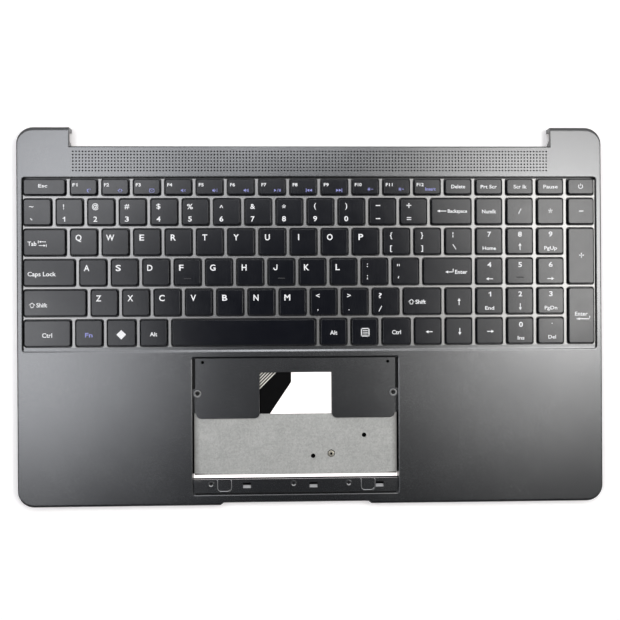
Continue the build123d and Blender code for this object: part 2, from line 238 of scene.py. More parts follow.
def add_prism(name: str, outline: Sequence[Point], low: float, high: float) -> Piece:
    """Adds an upright prism on an outline: a filled ring of points, extruded.

    Args:
        name: The object's name.
        outline: Corners in order.
        low: Level of its bottom.
        high: Level of its top.

    Returns:
        The prism.
    """
    bpy.ops.object.select_all(action="DESELECT")
    bpy.ops.mesh.primitive_circle_add(vertices=len(outline), radius=MM, fill_type="NGON")
    piece = settle(bpy.context.object, name)
    for vertex, (x, y) in zip(piece.data.vertices, outline):
        vertex.co = (x * MM, y * MM, low * MM)
    with editing(piece):
        bpy.ops.mesh.select_all(action="SELECT")
        bpy.ops.mesh.extrude_region_move(TRANSFORM_OT_translate={"value": (0, 0, (high - low) * MM)})
        bpy.ops.mesh.select_all(action="SELECT")
        bpy.ops.mesh.normals_make_consistent(inside=False)
    return piece


def flare_top(piece: Piece, size: Point, flare: float, lip: float, rise: float = 0.0) -> None:
    """Widens the top of a cutter, so that it leaves a chamfered rim.

    Args:
        piece: The cutter, whose top is at the foot of the chamfer.
        size: Its width and depth.
        flare: Width of the chamfer.
        lip: How far the cutter goes on above it.
        rise: Height of the chamfer, if it isn't as high as it is wide.
    """
    corners = [corner for corner in piece.bound_box]
    centre = [(min(c[i] for c in corners) + max(c[i] for c in corners)) / 2 for i in range(3)]
    factors = [1 + 2 * flare / side for side in size]
    with editing(piece):
        pick_faces(piece, faces_up)
        bpy.ops.mesh.extrude_region_move(TRANSFORM_OT_translate={"value": (0, 0, (rise or flare) * MM)})
        bpy.ops.transform.resize(value=(factors[0], factors[1], 1), center_override=centre)
        bpy.ops.mesh.extrude_region_move(TRANSFORM_OT_translate={"value": (0, 0, lip * MM)})


def copy_of(piece: Piece, name: str, shift: Sequence[float] = (0, 0, 0)) -> Piece:
    """Copies an object with a mesh of its own, moved in its mesh.

    Args:
        piece: The object to copy.
        name: The copy's name.
        shift: How far the copy is moved.

    Returns:
        The copy.
    """
    twin = piece.copy()
    twin.data = piece.data.copy()
    twin.name = name
    twin.data.name = name
    bpy.context.scene.collection.objects.link(twin)
    twin.data.transform(Matrix.Translation(Vector(shift) * MM))
    return twin


def discard(piece: Piece) -> None:
    """Deletes a helper object."""
    bpy.data.objects.remove(piece, do_unlink=True)


def join(pieces: Sequence[Piece], name: str) -> Piece:
    """Joins objects into the first of them.

    Args:
        pieces: The objects.
        name: The joined object's name.

    Returns:
        The joined object.
    """
    bpy.ops.object.select_all(action="DESELECT")
    for piece in pieces:
        piece.select_set(True)
    bpy.context.view_layer.objects.active = pieces[0]
    if len(pieces) > 1:
        bpy.ops.object.join()
    pieces[0].name = name
    pieces[0].data.name = name
    return pieces[0]


def combine(piece: Piece, tool: Piece, how: Join) -> None:
    """Cuts a solid from another or adds it, and deletes the tool.

    Args:
        piece: The solid that changes.
        tool: The solid that acts on it.
        how: What the tool does.
    """
    before = len(piece.data.polygons)
    modifier = piece.modifiers.new("combine", "BOOLEAN")
    modifier.operation = how.value
    modifier.solver = "MANIFOLD"
    modifier.object = tool
    activate(piece)
    bpy.ops.object.modifier_apply(modifier=modifier.name)
    if len(piece.data.polygons) == before:
        LOG.warning("%s: %s changed nothing", piece.name, tool.name)
    discard(tool)


def array(piece: Piece, count: int, step: Sequence[float]) -> None:
    """Repeats an object's mesh in a row.

    Args:
        piece: The object.
        count: Copies, the first included.
        step: Offset from one to the next.
    """
    modifier = piece.modifiers.new("row", "ARRAY")
    modifier.count = count
    modifier.use_relative_offset = False
    modifier.use_constant_offset = True
    modifier.constant_offset_displace = [value * MM for value in step]
    activate(piece)
    bpy.ops.object.modifier_apply(modifier=modifier.name)


def smooth(piece: Piece, degrees: float = 40.0) -> None:
    """Shades round faces smooth and keeps flat ones flat.

    Args:
        piece: The object.
        degrees: Edges sharper than this stay sharp.
    """
    activate(piece)
    bpy.ops.object.shade_smooth_by_angle(angle=math.radians(degrees))
    modifier = piece.modifiers.new("normals", "WEIGHTED_NORMAL")
    modifier.keep_sharp = True
    modifier.weight = 100
    bpy.ops.object.modifier_apply(modifier=modifier.name)


def arc(centre: Point, radius: float, start: float, end: float, steps: int) -> list[Point]:
    """Returns points along an arc, with its angles in degrees."""
    angles = [math.radians(start + (end - start) * i / steps) for i in range(steps + 1)]
    return [(centre[0] + radius * math.cos(a), centre[1] + radius * math.sin(a)) for a in angles]


def rounded_rectangle(centre: Point, size: Point, radius: float, steps: int = 5) -> list[Point]:
    """Returns the outline of a rectangle with round corners, anticlockwise."""
    x, y = size[0] / 2 - radius, size[1] / 2 - radius
    corners = ((x, y, 0), (-x, y, 90), (-x, -y, 180), (x, -y, 270))
    points: list[Point] = []
    for dx, dy, start in corners:
        points += arc((centre[0] + dx, centre[1] + dy), radius, start, start + 90, steps)
    return points


# Shader nodes


class Socket:
    """A node's output, on which Python's operators add Math nodes."""

    def __init__(self, graph: ShaderGraph, socket: bpy.types.NodeSocket) -> None:
        """Wraps one output socket of a graph."""
        self.graph = graph
        self.socket = socket

    def _math(self, operation: str, *values: Value) -> Socket:
        """Adds a Math node on this or other values."""
        return self.graph.add("ShaderNodeMath", {"operation": operation}, dict(enumerate(values)))

    def __add__(self, other: Value) -> Socket:
        """Adds a value."""
        return self._math("ADD", self, other)

    __radd__ = __add__

    def __sub__(self, other: Value) -> Socket:
        """Subtracts a value."""
        return self._math("SUBTRACT", self, other)

    def __rsub__(self, other: Value) -> Socket:
        """Subtracts this from a value."""
        return self._math("SUBTRACT", other, self)

    def __mul__(self, other: Value) -> Socket:
        """Multiplies by a value."""
        return self._math("MULTIPLY", self, other)

    __rmul__ = __mul__

    def __truediv__(self, other: Value) -> Socket:
        """Divides by a value."""
        return self._math("DIVIDE", self, other)

    def __gt__(self, other: Value) -> Socket:
        """Gives 1 where this is greater, else 0."""
        return self._math("GREATER_THAN", self, other)

    def __lt__(self, other: Value) -> Socket:
        """Gives 1 where this is less, else 0."""
        return self._math("LESS_THAN", self, other)

    def absolute(self) -> Socket:
        """Gives the value without its sign."""
        return self._math("ABSOLUTE", self)

    def fraction(self) -> Socket:
        """Gives what is left above the whole number."""
        return self._math("FRACT", self)


Value = Union[Socket, float]


class ShaderGraph:
    """A node tree that is written as Python expressions."""

    def __init__(self, tree: bpy.types.NodeTree) -> None:
        """Empties a node tree and takes it over."""
        self.tree = tree
        tree.nodes.clear()

    def add(
        self,
        kind: str,
        settings: dict[str, Any] | None = None,
        inputs: dict[str | int, Any] | None = None,
        output: str | int = 0,
    ) -> Socket:
        """Adds any node.

        Args:
            kind: The node's type.
            settings: Its own properties; stops gives a colour ramp's (place, colour) pairs.
            inputs: Values or links of its sockets, by name or number.
            output: The output socket that is returned.

        Returns:
            That output.
        """
        node = self.tree.nodes.new(kind)
        for key, value in (settings or {}).items():
            if key == "stops":
                ramp = node.color_ramp.elements
                while len(ramp) < len(value):
                    ramp.new(0.5)
                for element, (place, colour) in zip(ramp, value):
                    element.position = place
                    element.color = (*colour, 1)
            else:
                setattr(node, key, value)
        for key, value in (inputs or {}).items():
            if isinstance(value, Socket):
                self.tree.links.new(value.socket, node.inputs[key])
            elif isinstance(value, tuple) and len(value) == 3 and node.inputs[key].type == "RGBA":
                node.inputs[key].default_value = (*value, 1)
            else:
                node.inputs[key].default_value = value
        return Socket(self, node.outputs[output]) if len(node.outputs) else Socket(self, None)

    def place(self) -> Socket:
        """Returns the object coordinates, which are metres in the part's frame."""
        return self.add("ShaderNodeTexCoord", output="Object")

    def axis(self, place: Socket, name: str) -> Socket:
        """Returns one axis of a vector."""
        return self.add("ShaderNodeSeparateXYZ", None, {0: place}, output=name)

    def stretched(self, place: Socket, factors: Sequence[float]) -> Socket:
        """Returns coordinates that are scaled along each axis."""
        return self.add("ShaderNodeMapping", None, {"Vector": place, "Scale": tuple(factors)})

    def noise(self, place: Socket, size: float, detail: float = 2.0, rough: float = 0.5) -> Socket:
        """Returns a noise from 0 to 1 with features of about a size in millimetres."""
        return self.add(
            "ShaderNodeTexNoise",
            None,
            {"Vector": place, "Scale": 1 / (size * MM), "Detail": detail, "Roughness": rough},
        )

    def cells(self, place: Socket, size: float, output: str = "Color") -> Socket:
        """Returns one colour or distance for each cell of about a size in millimetres."""
        return self.add(
            "ShaderNodeTexVoronoi", None, {"Vector": place, "Scale": 1 / (size * MM)}, output=output
        )

    def ramp(self, value: Value, stops: Sequence[tuple[float, Colour]]) -> Socket:
        """Returns a colour for a value, from a ramp of stops."""
        return self.add("ShaderNodeValToRGB", {"stops": stops}, {0: value})

    def mix(self, factor: Value, first: Socket | Colour, second: Socket | Colour) -> Socket:
        """Returns a mix of two colours."""
        return self.add(
            "ShaderNodeMix", {"data_type": "RGBA"}, {0: factor, 6: first, 7: second}, output=2
        )

    def bump(self, height: Socket, depth: float, strength: float) -> Socket:
        """Returns a normal that a height bends.

        Args:
            height: The height, from 0 to 1.
            depth: Millimetres between 0 and 1.
            strength: Share of the effect.

        Returns:
            The bent normal.
        """
        return self.add(
            "ShaderNodeBump", None, {"Height": height, "Distance": depth * MM, "Strength": strength}
        )


class Material:
    """A surface with one Principled shader."""

    def __init__(self, name: str) -> None:
        """Makes an empty material."""
        self.data = bpy.data.materials.new(name)
        self.data.use_nodes = True
        self.graph = ShaderGraph(self.data.node_tree)

    def shade(self, **inputs: Any) -> Paint:
        """Adds the shader; an input's name has _ for each space.

        Args:
            **inputs: Values or links of its sockets.

        Returns:
            The finished material.
        """
        named = {name.replace("_", " "): value for name, value in inputs.items()}
        named = {"Specular IOR Level" if k == "Specular" else k: v for k, v in named.items()}
        shader = self.graph.add("ShaderNodeBsdfPrincipled", None, named)
        self.graph.add("ShaderNodeOutputMaterial", None, {"Surface": shader})
        return self.data


# Finishes


@dataclass(frozen=True)
class SatinPaint:
    """Grey metallic paint of the shell: fine flakes, a slight orange peel and an even satin gloss."""

    name: str = "satin_paint"
    dark: Colour = (0.089, 0.090, 0.0925)
    light: Colour = (0.1275, 0.1285, 0.130)
    metallic: float = 1.0
    roughness: float = 0.26
    flake: float = 0.22
    peel: float = 0.9

    def make(self) -> Paint:
        """Returns the material."""
        material = Material(self.name)
        graph = material.graph
        place = graph.place()
        flakes = graph.noise(place, self.flake, 3, 0.7)
        clouds = graph.noise(place, 38, 2)
        tone = flakes * 0.75 + clouds * 0.25
        grain = graph.noise(place, self.peel, 3, 0.6)
        return material.shade(
            Base_Color=graph.mix((tone - 0.3) * 2.5, self.dark, self.light),
            Metallic=self.metallic,
            Roughness=self.roughness + (flakes - 0.5) * 0.1 + (clouds - 0.5) * 0.03,
            Normal=graph.bump(grain * 0.5 + flakes * 0.5, 0.02, 0.35),
        )


@dataclass(frozen=True)
class SatinKeycap:
    """Black satin plastic of the keycaps, with a fine moulded grain."""

    name: str = "satin_keycap"
    dark: Colour = (0.0025, 0.003, 0.0055)
    light: Colour = (0.004, 0.0045, 0.008)
    roughness: float = 0.19
    grain: float = 0.16

    def make(self) -> Paint:
        """Returns the material."""
        material = Material(self.name)
        graph = material.graph
        place = graph.place()
        grain = graph.noise(place, self.grain, 2, 0.6)
        wear = graph.noise(place, 7, 3)
        return material.shade(
            Base_Color=graph.mix(grain * 0.6 + wear * 0.4, self.dark, self.light),
            Roughness=self.roughness + (wear - 0.5) * 0.06 + (grain - 0.5) * 0.05,
            Normal=graph.bump(grain, 0.008, 0.3),
            Specular=0.38,
        )


@dataclass(frozen=True)
class PrintedInk:
    """Ink of the key lettering, thin enough to show the grain below it."""

    name: str
    colour: Colour
    thin: Colour

    def make(self) -> Paint:
        """Returns the material."""
        material = Material(self.name)
        graph = material.graph
        speckle = graph.noise(graph.place(), 0.25, 2, 0.6)
        return material.shade(
            Base_Color=graph.mix(speckle, self.thin, self.colour),
            Roughness=0.5 + (speckle - 0.5) * 0.2,
        )


@dataclass(frozen=True)
class GalvanisedSteel:
    """Zinc-coated sheet with a fine dull spangle and faint rolling marks, painted shade by the side walls and
    a dark front band.
    """

    name: str = "galvanised_steel"
    dull: Colour = (0.345, 0.345, 0.33)
    bright: Colour = (0.485, 0.485, 0.465)
    # Painted shade: the colour that the sheet darkens towards beside the bay's side walls and in the band
    # along its front edge.
    shade: Colour = (0.13, 0.12, 0.11)
    spangle: float = 0.8
    # Where the painted shade and the front band lie: the bay's middle in X, how far out the shade starts, the
    # width over which it darkens, and the Y in front of which the band lies.
    middle: float = -10.55
    half: float = 58.8
    fade: float = 5.5
    front: float = -96.1

    def make(self) -> Paint:
        """Returns the material."""
        material = Material(self.name)
        graph = material.graph
        place = graph.place()
        spangle = graph.add("ShaderNodeRGBToBW", None, {0: graph.cells(place, self.spangle)})
        stains = graph.noise(place, 9, 4, 0.6)
        rolling = graph.noise(graph.stretched(place, (1, 30, 1)), 14, 3, 0.6)
        tone = spangle * 0.35 + stains * 0.4 + rolling * 0.25
        zinc = graph.mix((tone - 0.3) * 2.6, self.dull, self.bright)
        # Painted shade: the sheet darkens towards the bay's side walls, where their shade falls; it is also
        # darker in a band along its front edge.
        away = (graph.axis(place, "X") * (1 / MM) - self.middle).absolute()
        wall_shade_and_front_band = (away - self.half) / self.fade + (graph.axis(place, "Y") < self.front * MM) * 0.8
        return material.shade(
            Base_Color=graph.mix(wall_shade_and_front_band, zinc, self.shade),
            Metallic=0.3,
            Roughness=0.5 + (spangle - 0.5) * 0.14 + (stains - 0.5) * 0.1,
            Normal=graph.bump(rolling * 0.6 + spangle * 0.4, 0.02, 0.3),
        )


@dataclass(frozen=True)
class TurnedMetal:
    """Bright metal of small turned parts, with rings from the tool."""

    name: str
    dull: Colour
    bright: Colour
    roughness: float = 0.3

    def make(self) -> Paint:
        """Returns the material."""
        material = Material(self.name)
        graph = material.graph
        place = graph.place()
        rings = graph.noise(graph.stretched(place, (1, 1, 14)), 1.2, 3, 0.6)
        return material.shade(
            Base_Color=graph.mix(rings, self.dull, self.bright),
            Metallic=1.0,
            Roughness=self.roughness + (rings - 0.5) * 0.2,
            Normal=graph.bump(rings, 0.01, 0.3),
        )


@dataclass(frozen=True)
class BrushedSheet:
    """Thin metal sheet with a brushed grain along X."""

    name: str
    dull: Colour
    bright: Colour

    def make(self) -> Paint:
        """Returns the material."""
        material = Material(self.name)
        graph = material.graph
        brush = graph.noise(graph.stretched(graph.place(), (1, 40, 1)), 10, 4, 0.7)
        return material.shade(
            Base_Color=graph.mix(brush, self.dull, self.bright),
            Metallic=0.9,
            Roughness=0.36 + (brush - 0.5) * 0.25,
            Normal=graph.bump(brush, 0.01, 0.25),
        )


@dataclass(frozen=True)
class CableFilm:
    """Black film of the keyboard cable, with a window of bare traces at its end."""

    name: str = "cable_film"
    film: Colour = (0.0015, 0.0015, 0.0016)
    sheen: Colour = (0.004, 0.004, 0.0042)
    trace: Colour = (0.74, 0.72, 0.66)
    gap: Colour = (0.002, 0.002, 0.002)
    pitch: float = 1.42
    corner: Point = (-31.9, -45.1)

    def make(self) -> Paint:
        """Returns the material."""
        material = Material(self.name)
        graph = material.graph
        place = graph.place()
        x, y = graph.axis(place, "X"), graph.axis(place, "Y")
        across = (y - x - (self.corner[1] - self.corner[0]) * MM) * (math.sqrt(0.5) / MM)
        ripple = graph.noise(place, 4, 3)
        stripe = (across / self.pitch).fraction() > 0.52
        bare = across > 0.0
        traces = graph.mix(stripe, self.gap, self.trace)
        cover = graph.mix(ripple, self.film, self.sheen)
        return material.shade(
            Base_Color=graph.mix(bare, cover, traces),
            Roughness=0.5 + (ripple - 0.5) * 0.2,
            Specular=0.04,
            Normal=graph.bump(ripple, 0.05, 0.2),
        )


@dataclass(frozen=True)
class MouldedPlastic:
    """Plain moulded plastic or rubber with a fine grain."""

    name: str
    dark: Colour
    light: Colour
    roughness: float
    grain: float = 0.4

    def make(self) -> Paint:
        """Returns the material."""
        material = Material(self.name)
        graph = material.graph
        place = graph.place()
        grain = graph.noise(place, self.grain, 3, 0.6)
        return material.shade(
            Base_Color=graph.mix(grain, self.dark, self.light),
            Roughness=self.roughness + (grain - 0.5) * 0.15,
            Normal=graph.bump(grain, 0.02, 0.3),
        )


@dataclass(frozen=True)
class PrintedFilm:
    """Dark smoky switch film with rows of printed leads."""

    name: str = "switch_film"
    film: Colour = (0.012, 0.012, 0.014)
    lead: Colour = (0.05, 0.05, 0.055)
    pitch: float = 3.1

    def make(self) -> Paint:
        """Returns the material."""
        material = Material(self.name)
        graph = material.graph
        place = graph.place()
        y = graph.axis(place, "Y") * (1 / MM)
        haze = graph.noise(place, 6, 3)
        line = (y / self.pitch + haze * 0.15).fraction() > 0.72
        return material.shade(
            Base_Color=graph.mix(line * 0.8, self.film, self.lead),
            Roughness=0.35 + (haze - 0.5) * 0.2,
        )


def made(finish: Callable[..., Any], *values: Any) -> Any:
    """Returns a field that holds the material of a finish with these values."""
    return field(default_factory=lambda: finish(*values).make())


@dataclass
class Finishes:
    """The materials, each made once."""

    case: Paint = made(SatinPaint)
    # The web's top: a lighter, rougher copy of the shell's paint; the extra lightness is painted sheen, since
    # the web has the shell's own colour.
    web: Paint = made(
        SatinPaint, "web_paint", (0.165, 0.163, 0.162), (0.238, 0.236, 0.233), 0.95, 0.32
    )
    # Painted highlight: light grey plastic on the sides of rings, rests and snap slots that face the light,
    # and on screw rims and the lit side of their dishes.
    rubbed: Paint = made(
        MouldedPlastic, "rubbed_plastic", (0.36, 0.36, 0.365), (0.50, 0.50, 0.505), 0.45
    )
    # Painted shade: near-black on the floors of the bay's gutters, of the nut's moat and of the screws'
    # dishes.
    gasket: Paint = made(
        MouldedPlastic, "foam_gasket", (0.003, 0.003, 0.003), (0.007, 0.007, 0.007), 0.9
    )
    # Painted sheen: a matt grey on the ears' rounded back edges, lighter there than the shell's paint.
    edge: Paint = made(
        MouldedPlastic, "worn_edge", (0.06, 0.06, 0.06), (0.085, 0.085, 0.086), 0.5
    )
    cap: Paint = made(SatinKeycap)
    white_ink: Paint = made(PrintedInk, "white_ink", (0.98, 0.98, 0.98), (0.91, 0.91, 0.92))
    blue_ink: Paint = made(PrintedInk, "blue_ink", (0.34, 0.35, 0.76), (0.27, 0.28, 0.64))
    steel: Paint = made(GalvanisedSteel)
    screw: Paint = made(
        TurnedMetal, "nickel_screw", (0.15, 0.148, 0.145), (0.25, 0.247, 0.243)
    )
    nut: Paint = made(TurnedMetal, "zinc_nut", (0.40, 0.38, 0.31), (0.58, 0.55, 0.47), 0.38)
    brass: Paint = made(TurnedMetal, "insert_brass", (0.55, 0.38, 0.14), (0.78, 0.58, 0.26))
    backplate: Paint = made(
        BrushedSheet, "backplate_aluminium", (0.42, 0.42, 0.43), (0.62, 0.62, 0.63)
    )
    cable: Paint = made(CableFilm)
    film: Paint = made(PrintedFilm)
    dome: Paint = made(
        MouldedPlastic, "dome_silicone", (0.50, 0.50, 0.48), (0.62, 0.62, 0.60), 0.55
    )
    link: Paint = made(
        MouldedPlastic, "link_acetal", (0.03, 0.03, 0.032), (0.05, 0.05, 0.052), 0.4
    )




def wear(piece: Piece, material: Paint) -> Piece:
    """Gives an object one material alone."""
    piece.data.materials.clear()
    piece.data.materials.append(material)
    return piece


def repaint(
    piece: Piece, material: Paint, test: Callable[[Vector, Vector], bool]
) -> None:
    """Gives a further material to some faces.

    Args:
        piece: The object, which has a material.
        material: The further one.
        test: Picks the faces by their middle in millimetres and their normal.
    """
    piece.data.materials.append(material)
    for face in piece.data.polygons:
        if test(face.center / MM, face.normal):
            face.material_index = len(piece.data.materials) - 1


# Keyboard layout


@dataclass(frozen=True)
class KeyCell:
    """One key's opening in the web."""

    name: str
    x: float
    y: float
    width: float
    depth: float

    @property
    def size(self) -> Point:
        """Width and depth, rounded so that like keys are alike."""
        return round(self.width, 3), round(self.depth, 3)


@dataclass(frozen=True)
class KeyField:
    """The rows of keys and the web between them."""

    pitch: float = 19.05
    row_pitch: float = 18.4
    web_x: float = 1.9
    web_y: float = 1.4
    function_depth: float = 10.6
    main_units: float = 14.45
    pad_columns: int = 4
    first_web_y: float = 73.15
    main_rows: tuple[str, ...] = (
        "esc f1 f2 f3 f4 f5 f6 f7 f8 f9 f10 f11 f12 delete",
        "grave 1 2 3 4 5 6 7 8 9 0 minus equals backspace",
        "tab q w e r t y u i o p left_bracket right_bracket backslash",
        "caps_lock a s d f g h j k l semicolon quote enter",
        "left_shift z x c v b n m comma period slash right_shift up_arrow",
        "left_ctrl fn system left_alt space right_alt menu right_ctrl left_arrow down_arrow",
    )
    pad_rows: tuple[str, ...] = (
        "print_screen scroll_lock pause power",
        "num_lock pad_divide pad_multiply pad_minus",
        "pad_7 pad_8 pad_9 pad_plus",
        "pad_4 pad_5 pad_6",
        "pad_1 pad_2 pad_3 pad_enter",
        "right_arrow pad_0 pad_decimal",
    )
    units: tuple[tuple[str, float], ...] = (
        ("caps_lock", 1.735),
        ("left_shift", 2.09),
        ("left_ctrl", 1.6),
        ("system", 1.05),
        ("right_ctrl", 1.05),
    )
    first_reach: float = 0.5
    fillers: frozenset[str] = frozenset({"esc", "backspace", "tab", "enter", "right_shift", "space"})
    tall: frozenset[str] = frozenset({"pad_plus", "pad_enter"})

    def cells(self) -> list[KeyCell]:
        """Returns every key's opening, row by row from the back."""
        units = dict(self.units)
        left_edge = -(self.main_units + self.pad_columns) * self.pitch / 2
        found: list[KeyCell] = []
        for index, (main, pad) in enumerate(zip(self.main_rows, self.pad_rows)):
            depth = self.row_pitch - self.web_y if index else self.function_depth
            rear = self.first_web_y - (index - 1) * self.row_pitch - self.web_y / 2
            if not index:
                rear = self.first_web_y + self.web_y / 2 + depth
            names = main.split()
            taken = sum(units.get(name, 1.0) for name in names if name not in self.fillers)
            widths = [self.main_units - taken if n in self.fillers else units.get(n, 1.0) for n in names]
            names += pad.split()
            widths += [1.0] * (len(names) - len(widths))
            left = left_edge
            for name, unit in zip(names, widths):
                reach = depth + self.row_pitch if name in self.tall else depth
                width = unit * self.pitch
                more = self.first_reach if left == left_edge else 0.0
                x, wide = left + (width - more) / 2, width - self.web_x + more
                found.append(KeyCell(name, x, rear - reach / 2, wide, reach))
                left += width
        return found


# Shell


@dataclass
class TopShell:
    """The moulded palm rest shell, with its well, web, speaker grille and touchpad bay."""

    width: float = 358.0
    depth: float = 230.0
    height: float = 8.0
    wall: float = 1.6
    corner: float = 10.0
    edge_round: float = 0.8
    front_round: float = 1.5
    back_round: float = 2.2
    end_round: float = 0.4
    ear_width: float = 31.7
    ear_depth: float = 11.0
    ear_leg: float = 1.8
    ear_roof: float = 2.2
    ear_slope: tuple[float, float] = (0.3, 3.9)
    rim_squash: float = 0.5
    back_reach: float = 0.55
    notch_width: float = 88.3
    notch_depth: float = 1.5
    notch_slope: float = 2.0
    web_top: float = 6.4
    web_bottom: float = 4.7
    well_x: float = 175.875
    well_rear: float = 85.4
    well_fore: float = -21.25
    well_corner: float = 2.0
    back_gap: float = 1.2
    side_gap: float = 0.5
    well_break: tuple[float, float] = (0.6, 0.14)
    ramp_length: float = 1.1
    ramp_height: float = 0.26
    sill_back: float = -18.35
    sill_lift: float = 0.03
    aperture_corner: float = 1.7
    rim_break: float = 0.2
    grille_pitch: float = 1.945
    grille_hole: float = 1.02
    grille_rows: int = 7
    grille_columns: int = 150
    grille_y: float = 94.9
    pad_x: float = -10.55
    pad_half: float = 63.1
    pad_rear: float = -24.9
    pad_front: float = -108.65
    pad_corner: float = 1.5
    pad_break: tuple[float, float] = (0.55, 0.13)
    shelf_top: float = 6.0
    shelf_bottom: float = 4.6
    shelf_depth: float = 9.5
    tab_reach: float = 37.6
    tab_inner: float = 22.1
    tab_outer: float = 61.0
    tab_corner: float = 3.3
    neck_reach: float = 24.6
    ledge_depth: float = 9.0
    shelf_break: float = 0.3
    gutter: float = 0.7
    gutter_depth: float = 0.9
    gutter_start: float = 0.6
    lug_reach: float = 2.8
    screw_side: float = 60.0
    screw_back: float = 22.2
    screw_hole: float = 1.0
    corner_hole: float = 0.75
    corner_hole_side: float = 56.8
    corner_hole_back: float = 3.1
    pilots: tuple[float, ...] = (-52.0, -1.5, 32.3)
    pilot_back: float = 2.95
    pilot_bore: float = 0.8
    pilot_ring: float = 2.1
    pilot_height: float = 0.5
    pilot_dish: float = 0.6
    rest_side: float = 44.0
    rest_width: float = 9.3
    rest_length: float = 7.8
    rest_rib: float = 0.85
    rest_corner: float = 2.6
    rest_height: float = 0.7
    snap_width: float = 4.8
    snap_depth: float = 3.2
    snap_pitch: float = 40.75
    snap_offset: float = 10.65
    snap_back: float = 3.8
    post_side: float = 60.7
    post_back: float = 2.35
    post_radius: float = 2.3
    post_height: float = 0.8
    boss_x: float = 160.0
    boss_rows: tuple[float, float] = (-104.0, 94.0)
    boss_radius: float = 2.7
    boss_bore: float = 1.65
    boss_lift: float = 0.6
    boss_bore_depth: float = 3.6
    rib_bottom: float = 4.6
    rib_width: float = 1.0
    rib_row_pitch: float = 30.0
    rib_column_pitch: float = 34.0
    stud_pitch: float = 150.0
    stud_radius: float = 0.7
    stud_head: float = 1.3
    stud_foot: float = 3.7
    stud_levels: tuple[float, float] = (3.4, 3.9)
    overlap: float = 0.5

    @property
    def strip_back(self) -> float:
        """Y of the back edge between the ears."""
        return self.depth / 2 - self.ear_depth

    @property
    def ear_inner(self) -> float:
        """X of the ears' inner ends."""
        return self.width / 2 - self.ear_width

    @property
    def plate_bottom(self) -> float:
        """Level of the underside of the top plate."""
        return self.height - self.wall

    @property
    def ledge_rear(self) -> float:
        """Y of the back edge of the front ledge."""
        return self.pad_front + self.ledge_depth

    def outline(self, inset: float) -> list[Point]:
        """Returns the shell's outline, moved inwards.

        Args:
            inset: How far it is moved.

        Returns:
            Its corners, anticlockwise from the left end of the front edge.
        """
        x, y, radius = self.width / 2 - inset, self.depth / 2 - inset, self.corner - inset
        half, mouth = self.notch_width / 2, self.notch_width / 2 + self.notch_slope
        ear, strip = self.ear_inner + inset, self.strip_back - inset
        back = y + self.back_reach
        points = arc((-x + radius, -y + radius), radius, 180, 270, 10)
        points += [(self.pad_x - mouth, -y), (self.pad_x - half, -y + self.notch_depth)]
        points += [(self.pad_x + half, -y + self.notch_depth), (self.pad_x + mouth, -y)]
        points += arc((x - radius, -y + radius), radius, 270, 360, 10)
        points += arc((x - radius, back - radius), radius, 0, 90, 10)
        points += [(ear, back), (ear, strip), (-ear, strip), (-ear, back)]
        points += arc((-x + radius, back - radius), radius, 90, 180, 10)
        return points

    def build(self, cells: Sequence[KeyCell]) -> Piece:
        """Models the shell.

        Args:
            cells: The key openings.

        Returns:
            The shell.
        """
        shell = add_prism("shell", self.outline(0), 0, self.height)
        self._round_rim(shell)
        combine(shell, add_prism("hollow", self.outline(self.wall), -1, self.plate_bottom), Join.CUT)
        self._open_ears(shell)
        self._hang_well(shell)
        self._stiffen(shell)
        self._open_bay(shell)
        self._cut_keys(shell, cells)
        self._perforate(shell)
        smooth(shell, 35)
        return shell

    def _rim_round(self, x: float, y: float) -> float:
        """Returns how far the top rim is rounded: most along the ears' back, least at their ends."""
        if y > self.strip_back - 0.1 and abs(x) < self.ear_inner + 0.1:
            return self.edge_round if y < self.strip_back + 0.1 else self.end_round
        share = 1 - min((self.depth / 2 - abs(y)) / self.corner, 1)
        far = self.back_round if y > 0 else self.front_round
        return self.edge_round + (far - self.edge_round) * share**2

    def _round_rim(self, shell: Piece) -> None:
        """Rounds the top rim by weights that change along it."""
        weights = shell.data.attributes.new("bevel_weight_edge", "FLOAT", "EDGE")
        for edge in shell.data.edges:
            first, second = (shell.data.vertices[index].co / MM for index in edge.vertices)
            if min(first.z, second.z) > self.height - 0.01:
                middle = (first + second) / 2
                weights.data[edge.index].value = self._rim_round(middle.x, middle.y) / self.back_round
        modifier = shell.modifiers.new("rim", "BEVEL")
        modifier.limit_method = "WEIGHT"
        modifier.width = self.back_round * MM
        modifier.segments = 5
        modifier.use_clamp_overlap = False
        activate(shell)
        bpy.ops.object.modifier_apply(modifier=modifier.name)
        for vertex in shell.data.vertices:
            if vertex.co.z > 0.01 * MM:
                vertex.co.z = self.height * MM - (self.height * MM - vertex.co.z) * self.rim_squash

    def _open_ears(self, shell: Piece) -> None:
        """Opens the ears' inner ends for the hinges, with a sloped front in each."""
        foot, head = (self.strip_back + reach for reach in self.ear_slope)
        for side in (-1, 1):
            ends = sorted((side * (self.ear_inner - 1), side * (self.ear_inner + 2 * self.wall)))
            mouth = add_block(
                "mouth",
                (ends[0], foot, -0.5),
                (ends[1], self.depth / 2 - self.ear_leg, self.height - self.ear_roof),
            )
            for vertex in mouth.data.vertices:
                if vertex.co.z > 0 and vertex.co.y < (foot + 0.1) * MM:
                    vertex.co.y = head * MM
            combine(shell, mouth, Join.CUT)

